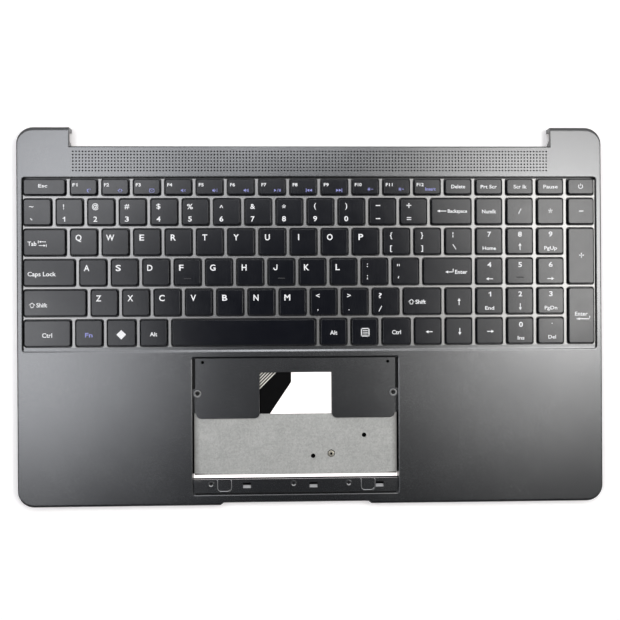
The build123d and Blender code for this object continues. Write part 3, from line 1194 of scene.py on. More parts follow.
    def _hang_well(self, shell: Piece) -> None:
        """Hangs the keyboard tray in the shell, with its sloped front and the studs under it."""
        tray = add_block(
            "tray",
            (-self.well_x - self.wall, self.well_fore - self.wall, self.web_bottom),
            (self.well_x + self.wall, self.well_rear + self.wall, self.height - self.wall / 2),
        )
        combine(shell, tray, Join.ADD)
        size = (2 * self.well_x, self.well_rear - self.well_fore)
        centre = (0, (self.well_rear + self.well_fore) / 2)
        outline = rounded_rectangle(centre, size, self.well_corner)
        flare, rise = self.well_break
        pocket = add_prism("pocket", outline, self.web_top, self.height - rise)
        flare_top(pocket, size, flare, 1, rise)
        combine(shell, pocket, Join.CUT)
        low = tuple(level - self.overlap for level in (-self.well_x, self.well_fore, self.web_top))
        sill = add_block(
            "sill",
            low,
            (self.well_x + self.overlap, self.sill_back, self.web_top + self.sill_lift),
        )
        combine(shell, sill, Join.ADD)
        ramp = add_block(
            "ramp",
            low,
            (self.well_x + self.overlap, self.well_fore + self.ramp_length, self.web_top + self.ramp_height),
        )
        run = self.ramp_length * MM
        for vertex in ramp.data.vertices:
            if vertex.co.z > self.web_top * MM and vertex.co.y > self.well_fore * MM:
                vertex.co.y -= run
            elif vertex.co.z < self.web_top * MM and vertex.co.y > self.well_fore * MM:
                vertex.co.y += run * self.overlap / self.ramp_height
        combine(shell, ramp, Join.ADD)
        for row, y in enumerate((self.well_rear + self.wall / 2, self.well_fore + self.stud_head)):
            for column in (-1, 0, 1):
                place = (column * self.stud_pitch, y)
                top = self.web_bottom + self.overlap
                stud = add_round(f"stud_{row}", place, self.stud_radius, self.stud_foot, top, 16)
                combine(shell, stud, Join.ADD)
                head = add_round(f"stud_head_{row}", place, self.stud_head, *self.stud_levels, 16)
                bevel(head, bottom_rim, 0.2, 2)
                combine(shell, head, Join.ADD)
        self._part_back(shell)

    def _part_back(self, shell: Piece) -> None:
        """Parts the web from the well's side and back walls, round both corners."""
        x, y = self.well_x - self.well_corner, self.well_rear - self.well_corner
        wide, narrow = self.well_corner - 0.02, self.well_corner - self.back_gap
        fore, side = self.well_fore + self.ramp_length + 0.4, self.well_x - self.side_gap
        outline = [(x + wide, fore)] + arc((x, y), wide, 0, 90, 6) + arc((-x, y), wide, 90, 180, 6)
        outline += [(-x - wide, fore), (-side, fore), (-side, y)] + arc((-x, y), narrow, 180, 90, 6)
        outline += arc((x, y), narrow, 90, 0, 6) + [(side, y), (side, fore)]
        combine(shell, add_prism("back_gap", outline, self.web_bottom - 1, self.web_top + 0.3), Join.CUT)

    def _stiffen(self, shell: Piece) -> None:
        """Adds the ribs under the palm rests and the screw bosses."""
        top = self.height - self.wall / 2
        sides = (
            (-self.width / 2 + self.wall, self.pad_x - self.pad_half - self.wall),
            (self.pad_x + self.pad_half + self.wall, self.width / 2 - self.wall),
        )
        fore, rear = -self.depth / 2 + self.wall, self.well_fore - self.wall
        over, half = self.overlap, self.rib_width / 2
        for left, right in sides:
            x, y = (left + right) / 2, (fore + rear) / 2
            for step in (-0.5, 0.5):
                row, column = y + step * self.rib_row_pitch, x + step * self.rib_column_pitch
                spans = (
                    (left - over, right + over, row - half, row + half),
                    (column - half, column + half, fore - over, rear + over),
                )
                for west, east, south, north in spans:
                    rib = add_block("rib", (west, south, self.rib_bottom), (east, north, top))
                    combine(shell, rib, Join.ADD)
        for x in (-self.boss_x, self.boss_x):
            for y in self.boss_rows:
                boss = add_round("boss", (x, y), self.boss_radius, self.boss_lift, top, 32)
                combine(shell, boss, Join.ADD)
                bore_top = self.boss_lift + self.boss_bore_depth
                bore = add_round("bore", (x, y), self.boss_bore, self.boss_lift - 1, bore_top, 24)
                combine(shell, bore, Join.CUT)

    def _shelf_outline(self) -> list[Point]:
        """Returns the outline of the shelf with its two tabs and necks."""
        out = self.pad_half + self.overlap
        right: list[Point] = [(0, self.shelf_depth), (self.tab_inner, self.shelf_depth)]
        low = self.tab_reach - self.tab_corner
        right += arc((self.tab_inner + self.tab_corner, low), self.tab_corner, 180, 90, 6)
        right += arc((self.tab_outer - self.tab_corner, low), self.tab_corner, 90, 0, 6)
        right += [(self.tab_outer, self.neck_reach), (out, self.neck_reach), (out, -self.overlap)]
        left = [(-x, y) for x, y in reversed(right)]
        return [(self.pad_x + x, self.pad_rear - y) for x, y in left[:-1] + right[1:]]

    def _open_bay(self, shell: Piece) -> None:
        """Opens the touchpad bay and builds what stands in it."""
        low = (self.pad_x - self.pad_half, self.pad_front)
        high = (self.pad_x + self.pad_half, self.pad_rear)
        rim = add_block(
            "rim",
            (low[0] - self.wall, low[1] - self.wall, self.shelf_bottom),
            (high[0] + self.wall, high[1] + self.wall, self.height - self.wall / 2),
        )
        combine(shell, rim, Join.ADD)
        size = (high[0] - low[0], high[1] - low[1])
        centre = (self.pad_x, (low[1] + high[1]) / 2)
        outline = rounded_rectangle(centre, size, self.pad_corner)
        flare, rise = self.pad_break
        opening = add_prism("opening", outline, -1, self.height - rise)
        flare_top(opening, size, flare, 1, rise)
        combine(shell, opening, Join.CUT)
        shelf = add_prism("shelf", self._shelf_outline(), self.shelf_bottom, self.shelf_top)
        bevel(shelf, top_rim, self.shelf_break, 2)
        combine(shell, shelf, Join.ADD)
        ledge = add_block(
            "ledge",
            (low[0] - self.overlap, low[1] - self.overlap, self.shelf_bottom),
            (high[0] + self.overlap, self.ledge_rear, self.shelf_top),
        )
        combine(shell, ledge, Join.ADD)
        for side in (-1, 1):
            x = self.pad_x + side * self.screw_side
            self._drill(shell, (x, self.pad_rear - self.screw_back), self.screw_hole, 0)
            x = self.pad_x + side * self.corner_hole_side
            self._drill(shell, (x, self.pad_rear - self.corner_hole_back), self.corner_hole, 0.25)
            self._line_side(shell, side)
        floor = self.shelf_top - self.gutter_depth
        for fore, rear in ((low[1] + 0.02, low[1] + self.gutter), (high[1] - self.gutter, high[1] - 0.02)):
            gutter = add_block(
                "gutter",
                (low[0] + self.pad_corner, fore, floor),
                (high[0] - self.pad_corner, rear, self.shelf_top + 0.3),
            )
            combine(shell, gutter, Join.CUT)
        self._furnish_ledge(shell)

    def _line_side(self, shell: Piece, side: int) -> None:
        """Lines one side wall of the bay: a gutter behind the screw and a sloped strip in front of it.

        Args:
            shell: The shell.
            side: -1 for the left wall, 1 for the right one.
        """
        wall, tab = (self.pad_x + side * reach for reach in (self.pad_half - 0.02, self.tab_outer))
        left, right = sorted((wall, tab + side * 0.3))
        lug = self.screw_back - self.lug_reach
        gutter = add_block(
            "gutter",
            (left, self.pad_rear - lug, self.shelf_top - self.gutter_depth),
            (right, self.pad_rear - self.gutter_start, self.shelf_top + 0.3),
        )
        combine(shell, gutter, Join.CUT)
        left, right = sorted((wall + side * self.overlap, tab - side * self.overlap))
        strip = add_block(
            "strip",
            (left, self.pad_rear - self.tab_reach + self.tab_corner, self.shelf_bottom),
            (right, self.pad_rear - self.neck_reach + self.overlap, self.shelf_top - 0.4),
        )
        for vertex in strip.data.vertices:
            if vertex.co.z > (self.shelf_bottom + 0.1) * MM and (vertex.co.x - tab * MM) * side > 0:
                vertex.co.z = (self.shelf_bottom + 0.15) * MM
        combine(shell, strip, Join.ADD)

    def _drill(self, shell: Piece, place: Point, radius: float, flare: float) -> None:
        """Drills a round hole through the shelf, with a countersunk rim if flare isn't 0."""
        top = self.shelf_top - flare if flare else self.shelf_top + 1
        drill = add_round("drill", place, radius, self.shelf_bottom - 1, top, 24)
        if flare:
            flare_top(drill, (2 * radius, 2 * radius), flare, 1)
        combine(shell, drill, Join.CUT)

    def _rest_outline(self, x: float) -> list[Point]:
        """Returns the outline of one U-shaped touchpad rest, open to the back."""
        rear, fore = self.ledge_rear - 0.3, self.ledge_rear - self.rest_length
        half, radius, line = self.rest_width / 2, self.rest_corner, self.rest_rib
        left, right, y = x - half + radius, x + half - radius, fore + radius
        outer = arc((left, y), radius, 180, 270, 5) + arc((right, y), radius, 270, 360, 5)
        inner = arc((right, y), radius - line, 360, 270, 5) + arc((left, y), radius - line, 270, 180, 5)
        ends = [(x + half, rear), (x + half - line, rear)]
        return [(x - half, rear)] + outer + ends + inner + [(x - half + line, rear)]

    def _furnish_ledge(self, shell: Piece) -> None:
        """Adds the pilot rings, touchpad rests and post, and cuts the snap slots."""
        sunk = self.shelf_top - 0.2
        for x in self.pilots:
            place = (self.pad_x + x, self.ledge_rear - self.pilot_back)
            ring = add_round("ring", place, self.pilot_ring, sunk, self.shelf_top + self.pilot_height, 28)
            bevel(ring, top_rim, 0.4, 3)
            combine(shell, ring, Join.ADD)
            foot = self.shelf_top + self.pilot_height - self.pilot_dish
            bore = add_round("bore", place, self.pilot_bore, self.shelf_top - 0.6, foot, 24)
            flare_top(bore, (2 * self.pilot_bore, 2 * self.pilot_bore), self.pilot_dish, 1)
            combine(shell, bore, Join.CUT)
        for side in (-1, 1):
            outline = self._rest_outline(self.pad_x + side * self.rest_side)
            rest = add_prism("rest", outline, sunk, self.shelf_top + self.rest_height)
            bevel(rest, top_rim, 0.36, 3)
            combine(shell, rest, Join.ADD)
        for step in (-1, 0, 1):
            self._cut_snap(shell, self.pad_x + self.snap_offset + step * self.snap_pitch)
        place = (self.pad_x - self.post_side, self.ledge_rear - self.post_back)
        post = add_round("post", place, self.post_radius, sunk, self.shelf_top + self.post_height, 28)
        bevel(post, top_rim, 0.4, 3)
        combine(shell, post, Join.ADD)

    def _cut_snap(self, shell: Piece, x: float) -> None:
        """Cuts one snap slot, whose front wall slopes."""
        middle = self.ledge_rear - self.snap_back
        rear, fore = middle + self.snap_depth / 2, middle - self.snap_depth / 2
        slot = add_block(
            "slot",
            (x - self.snap_width / 2, fore, self.shelf_bottom),
            (x + self.snap_width / 2, rear, self.shelf_top),
        )
        for vertex in slot.data.vertices:
            if vertex.co.z < (self.shelf_bottom + 0.1) * MM and vertex.co.y < middle * MM:
                vertex.co.y = middle * MM
        with editing(slot):
            pick_faces(slot, faces_up)
            bpy.ops.mesh.extrude_region_move(TRANSFORM_OT_translate={"value": (0, 0, MM)})
            pick_faces(slot, faces_down)
            bpy.ops.mesh.extrude_region_move(TRANSFORM_OT_translate={"value": (0, 0, -MM)})
        combine(shell, slot, Join.CUT)

    def _cut_keys(self, shell: Piece, cells: Sequence[KeyCell]) -> None:
        """Cuts the key openings in the web, each with round corners and a broken rim."""
        shapes: dict[Point, Piece] = {}
        cutters: list[Piece] = []
        for cell in cells:
            if cell.size not in shapes:
                outline = rounded_rectangle((0, 0), cell.size, self.aperture_corner, 4)
                cutter = add_prism("aperture", outline, self.web_bottom - 1, self.web_top - self.rim_break)
                flare_top(cutter, cell.size, self.rim_break, 0.3)
                shapes[cell.size] = cutter
            cutters.append(copy_of(shapes[cell.size], f"aperture_{cell.name}", (cell.x, cell.y, 0)))
        for shape in shapes.values():
            discard(shape)
        combine(shell, join(cutters, "apertures"), Join.CUT)

    def _perforate(self, shell: Piece) -> None:
        """Perforates the strip behind the keys: one hole, repeated along the rows."""
        first = (
            -(self.grille_columns - 1) / 2 * self.grille_pitch,
            self.grille_y - (self.grille_rows - 1) / 2 * self.grille_pitch,
        )
        hole = add_round("hole", first, self.grille_hole / 2, self.plate_bottom - 1, self.height + 1, 10)
        array(hole, self.grille_columns, (self.grille_pitch, 0, 0))
        array(hole, self.grille_rows, (0, self.grille_pitch, 0))
        combine(shell, hole, Join.CUT)

    def _in_web(self, place: Vector, normal: Vector) -> bool:
        """Tells whether a face is on top of the web."""
        inside = abs(place.x) < self.well_x and self.well_fore < place.y < self.well_rear
        return inside and normal.z > 0.3 and self.web_bottom < place.z < self.web_top + 0.01

    def _on_ear_edge(self, place: Vector, normal: Vector) -> bool:
        """Tells whether a face is on the rounded back edge of an ear."""
        behind = place.y > self.depth / 2 - self.corner and abs(place.x) > self.ear_inner
        return behind and 0.05 < normal.z < 0.995 and normal.y > 0.1 and place.z > self.plate_bottom

    def _in_gutter(self, place: Vector, normal: Vector) -> bool:
        """Tells whether a face is the floor of a gutter in the bay, which gets painted shade."""
        inside = abs(place.x - self.pad_x) < self.pad_half and self.pad_front < place.y < self.pad_rear
        return inside and normal.z > 0.99 and self.shelf_bottom < place.z < self.shelf_top - 0.3

    def _is_rubbed(self, place: Vector, normal: Vector) -> bool:
        """Tells whether a face gets the painted highlight: the side of a ring, a rest or a snap slot that
        faces the light.
        """
        if not self.pad_front < place.y < self.ledge_rear or normal.z < 0.1:
            return False
        x = place.x - self.pad_x
        if place.z < self.shelf_top - 0.01:
            return normal.y > 0.2 and abs(abs(x) - self.post_side) > self.post_radius
        for pilot in self.pilots:
            away = math.dist((x, place.y), (pilot, self.ledge_rear - self.pilot_back))
            if away < self.pilot_ring + 0.1:
                return away < self.pilot_bore + self.pilot_dish + 0.1 and normal.y > 0.15
        rest = abs(abs(x) - self.rest_side) < self.rest_width / 2 + 0.1
        return rest and place.z > self.shelf_top + 0.05 and (normal.x > 0.3 or normal.y > 0.25)

    def dress(self, shell: Piece, finishes: Finishes) -> None:
        """Paints the shell, with painted sheen on the web and the ears' back edges, painted shade in the
        gutters and painted highlights in the bay, and sets it on its body.
        """
        wear(shell, finishes.case)
        # Painted sheen: the web's top gets a lighter copy of the shell's paint.
        repaint(shell, finishes.web, self._in_web)
        # Painted sheen on the ears' rounded back edges.
        repaint(shell, finishes.edge, self._on_ear_edge)
        # Painted shade: near-black on the gutters' floors.
        repaint(shell, finishes.gasket, self._in_gutter)
        # Painted highlights on the sides of rings, rests and snap slots that face the light.
        repaint(shell, finishes.rubbed, self._is_rubbed)
        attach(shell, "case")
        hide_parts("upper_case")


# Lettering


class Ink(Enum):
    """The two inks of the lettering."""

    WHITE = "white"
    BLUE = "blue"


class Sign(Enum):
    """Drawn signs of the lettering."""

    ONE = "one"
    HOOK = "hook"
    PLUS = "plus"
    MINUS = "minus"
    EQUALS = "equals"
    SLASH = "slash"
    BACKSLASH = "backslash"
    BROKEN_BAR = "broken bar"
    STAR = "star"
    GRAVE = "grave"
    QUOTE = "quote"
    QUOTES = "quotes"
    UP = "up"
    DOWN = "down"
    LEFT = "left"
    RIGHT = "right"
    LONG_LEFT = "long left"
    RETURN = "return"
    LONG_RETURN = "long return"
    SHIFT = "shift"
    TAB = "tab"
    LIST = "list"
    DIAMOND = "diamond"
    POWER = "power"
    MOON = "moon"
    HOUSE = "house"
    ENVELOPE = "envelope"
    MUTE = "mute"
    QUIETER = "quieter"
    LOUDER = "louder"
    PLAY = "play"
    PREVIOUS = "previous"
    NEXT = "next"
    DIMMER = "dimmer"
    BRIGHTER = "brighter"


@dataclass(frozen=True)
class Mark:
    """One word or sign on a key: its middle as shares of the key from the left and the back, and its size.

    The height of a word is that of a capital. A sign of height 0 keeps the size that it is drawn at, and
    a word of width 0 the width of its letters.
    """

    what: str | Sign
    x: float
    y: float
    height: float = 2.2
    width: float = 0.0
    ink: Ink = Ink.WHITE
    bold: float = 0.017


DRAWN: dict[str, Sign] = {
    "1": Sign.ONE,
    "J": Sign.HOOK,
    "+": Sign.PLUS,
    "-": Sign.MINUS,
    "_": Sign.MINUS,
    "=": Sign.EQUALS,
    "/": Sign.SLASH,
    "\\": Sign.BACKSLASH,
    "|": Sign.BROKEN_BAR,
    "*": Sign.STAR,
    "`": Sign.GRAVE,
    "'": Sign.QUOTE,
    '"': Sign.QUOTES,
}
BROAD = (
    "A3.4 B3.1 C3.4 D3.2 E2.9 F2.7 G3.4 H3.0 I0.7 K3.25 L2.65 M3.65 N3.1 O3.55 P2.9 Q3.65 R3.25 S3.2 "
    "T2.95 U3.0 V3.3 W5.0 X3.4 Y3.2 Z3.2 @4.0 #3.0 $2.5 %3.6 &2.9 02.4 22.3 32.3 42.5 52.3 62.4 72.3 82.4 "
    "92.4 ?2.0 <2.3 >2.3 {1.5 }1.5 [1.25 ]1.25 (1.3 )1.3 ^2.2 ~2.7"
)
WIDTHS: dict[str, float] = {item[0]: float(item[1:]) for item in BROAD.split()}


def glyph(text: str, x: float, y: float, height: float) -> Mark:
    """Returns the mark of one character, drawn if it has a sign and else set in type."""
    if text in DRAWN:
        return Mark(DRAWN[text], x, y, 0)
    return Mark(text, x, y, height, WIDTHS.get(text, 0.0), bold=0.02 if text.isalnum() else 0.012)


def letter(text: str) -> tuple[Mark, ...]:
    """Returns the mark of a letter key."""
    share = 0.31 if text in "QWERTYUIOP" else 0.268 if text in "ASDFGHJKL" else 0.293
    return (glyph(text, share, 0.325, 3.5),)


def pair(upper: str, lower: str, x: float = 0.29, high: float = 0.3, low: float = 0.78) -> tuple[Mark, ...]:
    """Returns the marks of a key with a sign above another."""
    return glyph(upper, x, high, 3.0), glyph(lower, x, low, 3.0)


def numbered(
    digit: str, below: str | Sign, width: float = 0.0, high: float = 0.23, low: float = 0.775, x: float = 0.5
) -> tuple[Mark, ...]:
    """Returns the marks of a number pad key."""
    return glyph(digit, x, high, 2.9), Mark(below, x, low, 0 if isinstance(below, Sign) else 2.1, width)


def function(number: int, sign: Sign, x: float = 0.7, y: float = 0.74) -> tuple[Mark, ...]:
    """Returns the marks of a function key."""
    wide = number > 9
    return (
        Mark(f"F{number}", 0.22 if wide else 0.185, 0.37, 1.85, 4.2 if wide else 3.0, bold=0.022),
        Mark(sign, x, y, 2.2, ink=Ink.BLUE),
    )


TOP_ROW = (
    Sign.MOON, Sign.HOUSE, Sign.ENVELOPE, Sign.MUTE, Sign.QUIETER,
    Sign.LOUDER, Sign.PLAY, Sign.PREVIOUS, Sign.NEXT,
)
LETTERING: dict[str, tuple[Mark, ...]] = {
    **{name: letter(name.upper()) for name in "qwertyuiopasdfghjklzxcvbnm"},
    **{digit: pair(sign, digit) for sign, digit in zip("!@#$%^&*()", "1234567890")},
    "esc": (Mark("Esc", 0.47, 0.43, 2.0, 5.4),),
    **{f"f{number}": function(number, sign) for number, sign in enumerate(TOP_ROW, 1)},
    "f10": function(10, Sign.DIMMER, 0.67, 0.67),
    "f11": function(11, Sign.BRIGHTER, 0.67, 0.67),
    "f12": (Mark("F12", 0.22, 0.37, 1.85, 4.3, bold=0.022), Mark("Insert", 0.62, 0.66, 1.9, 6.4, Ink.BLUE)),
    "delete": (Mark("Delete", 0.5, 0.5, 2.1, 8.6),),
    "print_screen": (Mark("Prt Scr", 0.49, 0.51, 2.1, 10.0),),
    "scroll_lock": (Mark("Scr lk", 0.52, 0.51, 2.1, 8.1),),
    "pause": (Mark("Pause", 0.51, 0.51, 2.1, 8.9),),
    "power": (Mark(Sign.POWER, 0.49, 0.5, 3.3),),
    "grave": pair("~", "`"),
    "minus": pair("_", "-", 0.32, 0.27),
    "equals": pair("+", "=", 0.32, 0.27),
    "backspace": (Mark(Sign.LONG_LEFT, 0.255, 0.49, 0), Mark("Backspace", 0.653, 0.49, 2.0, 12.0)),
    "num_lock": (Mark("Numlk", 0.5, 0.51, 2.2, 8.8),),
    "pad_divide": (Mark(Sign.SLASH, 0.5, 0.5, 3.4),),
    "pad_multiply": (Mark(Sign.STAR, 0.5, 0.49, 2.6),),
    "pad_minus": (Mark(Sign.MINUS, 0.51, 0.5, 0),),
    "tab": (Mark("Tab", 0.206, 0.55, 2.5, 5.3), Mark(Sign.TAB, 0.454, 0.55, 4.0)),
    "left_bracket": pair("{", "[", 0.28, 0.28, 0.785),
    "right_bracket": pair("}", "]", 0.28, 0.28, 0.785),
    "backslash": (Mark(Sign.BROKEN_BAR, 0.284, 0.25, 0), Mark(Sign.BACKSLASH, 0.34, 0.72, 0)),
    "pad_7": numbered("7", "Home", 8.3),
    "pad_8": numbered("8", Sign.UP, low=0.71),
    "pad_9": numbered("9", "PgUp", 7.9),
    "pad_plus": (Mark(Sign.PLUS, 0.51, 0.49, 0),),
    "caps_lock": (Mark("Caps Lock", 0.358, 0.55, 2.5, 17.0),),
    "semicolon": pair(":", ";", 0.215, 0.255, 0.73),
    "quote": pair('"', "'", 0.215, 0.255, 0.73),
    "enter": (Mark(Sign.RETURN, 0.537, 0.53, 0), Mark("Enter", 0.784, 0.53, 2.3, 7.7)),
    "pad_4": numbered("4", Sign.LEFT, high=0.25, low=0.805),
    "pad_5": (glyph("5", 0.5, 0.25, 2.9),),
    "pad_6": numbered("6", Sign.RIGHT, high=0.25, low=0.805),
    "left_shift": (Mark(Sign.SHIFT, 0.133, 0.585, 3.4), Mark("Shift", 0.29, 0.58, 2.4, 6.4)),
    "comma": pair("<", ",", 0.27, 0.26, 0.82),
    "period": pair(">", ".", 0.27, 0.26, 0.82),
    "slash": pair("?", "/", 0.28, 0.27),
    "right_shift": (Mark(Sign.SHIFT, 0.2, 0.52, 3.4), Mark("Shift", 0.45, 0.52, 2.4, 6.4)),
    "up_arrow": (Mark(Sign.UP, 0.51, 0.52, 0),),
    "pad_1": numbered("1", "End", 5.6),
    "pad_2": numbered("2", Sign.DOWN, low=0.73),
    "pad_3": numbered("3", "PgDn", 7.9),
    "pad_enter": (Mark("Enter", 0.49, 0.47, 2.3, 7.9), Mark(Sign.LONG_RETURN, 0.56, 0.562, 0)),
    "left_ctrl": (Mark("Ctrl", 0.5, 0.574, 2.5, 6.0),),
    "fn": (Mark("Fn", 0.5, 0.57, 2.6, 4.5, Ink.BLUE),),
    "system": (Mark(Sign.DIAMOND, 0.5, 0.56, 5.8),),
    "left_alt": (Mark("Alt", 0.5, 0.55, 2.4, 4.4),),
    "right_alt": (Mark("Alt", 0.5, 0.53, 2.4, 4.4),),
    "menu": (Mark(Sign.LIST, 0.52, 0.525, 5.2),),
    "right_ctrl": (Mark("Ctrl", 0.5, 0.53, 2.4, 5.5),),
    "left_arrow": (Mark(Sign.LEFT, 0.54, 0.52, 0),),
    "down_arrow": (Mark(Sign.DOWN, 0.53, 0.52, 0),),
    "right_arrow": (Mark(Sign.RIGHT, 0.53, 0.52, 0),),
    "pad_0": numbered("0", "Ins", 4.2, 0.256, 0.78, 0.52),
    "pad_decimal": numbered(".", "Del", 4.8, 0.22, 0.75, 0.54),
}


@dataclass
class Printer:
    """Prints words and signs as thin solid ink."""

    thickness: float = 0.02
    cap_share: float = 0.0
    curve_steps: int = 3

    def _text(self, text: str, bold: float) -> Piece:
        """Returns a word of font size 1 mm as a mesh, with its baseline at 0."""
        bpy.ops.object.select_all(action="DESELECT")
        bpy.ops.object.text_add()
        word = bpy.context.object
        word.data.body = text
        word.data.resolution_u = self.curve_steps
        word.data.offset = bold
        word.data.extrude = 0.002
        bpy.ops.object.convert(target="MESH")
        word = bpy.context.object
        word.scale = (MM, MM, MM)
        return settle(word, "word")

    def _extent(self, piece: Piece, axis: int) -> tuple[float, float]:
        """Returns an object's lowest and highest place along an axis."""
        values = [vertex.co[axis] / MM for vertex in piece.data.vertices]
        return min(values), max(values)

    def word(self, mark: Mark, x: float, y: float, level: float) -> Piece:
        """Prints a word.

        Args:
            mark: The word and how it is set.
            x: Its middle.
            y: The middle of its capitals, or of its own height if it has no letter or digit.
            level: The surface it is printed on.

        Returns:
            The ink.
        """
        if not self.cap_share:
            sample = self._text("H", 0)
            self.cap_share = self._extent(sample, 1)[1]
            discard(sample)
        ink = self._text(str(mark.what), mark.bold)
        scale = mark.height / self.cap_share
        left, right = self._extent(ink, 0)
        low, high = self._extent(ink, 1)
        broad = mark.width / (right - left) if mark.width else scale
        middle = self.cap_share / 2 if any(c.isalnum() for c in str(mark.what)) else (low + high) / 2
        thin = self.thickness / (self._extent(ink, 2)[1] - self._extent(ink, 2)[0])
        shift = Vector((x - (left + right) / 2 * broad, y - middle * scale, level)) * MM
        ink.data.transform(Matrix.Translation(shift) @ Matrix.Diagonal((broad, scale, thin, 1)))
        return ink

    def sign(self, mark: Mark, x: float, y: float, level: float) -> Piece:
        """Prints a drawn sign about its middle, at the mark's height or else at its own.

        Args:
            mark: The sign and its height.
            x: Its middle.
            y: Its middle.
            level: The surface it is printed on.

        Returns:
            The ink.
        """
        outlines = Stencil().outlines(mark.what)
        heights = [p[1] for outline in outlines for p in outline]
        scale = mark.height / (max(heights) - min(heights)) if mark.height else 1
        inks = []
        for outline in outlines:
            points = [(x + px * scale, y + py * scale) for px, py in outline]
            inks.append(add_prism("sign", points, level - self.thickness / 2, level + self.thickness / 2))
        return join(inks, "sign")


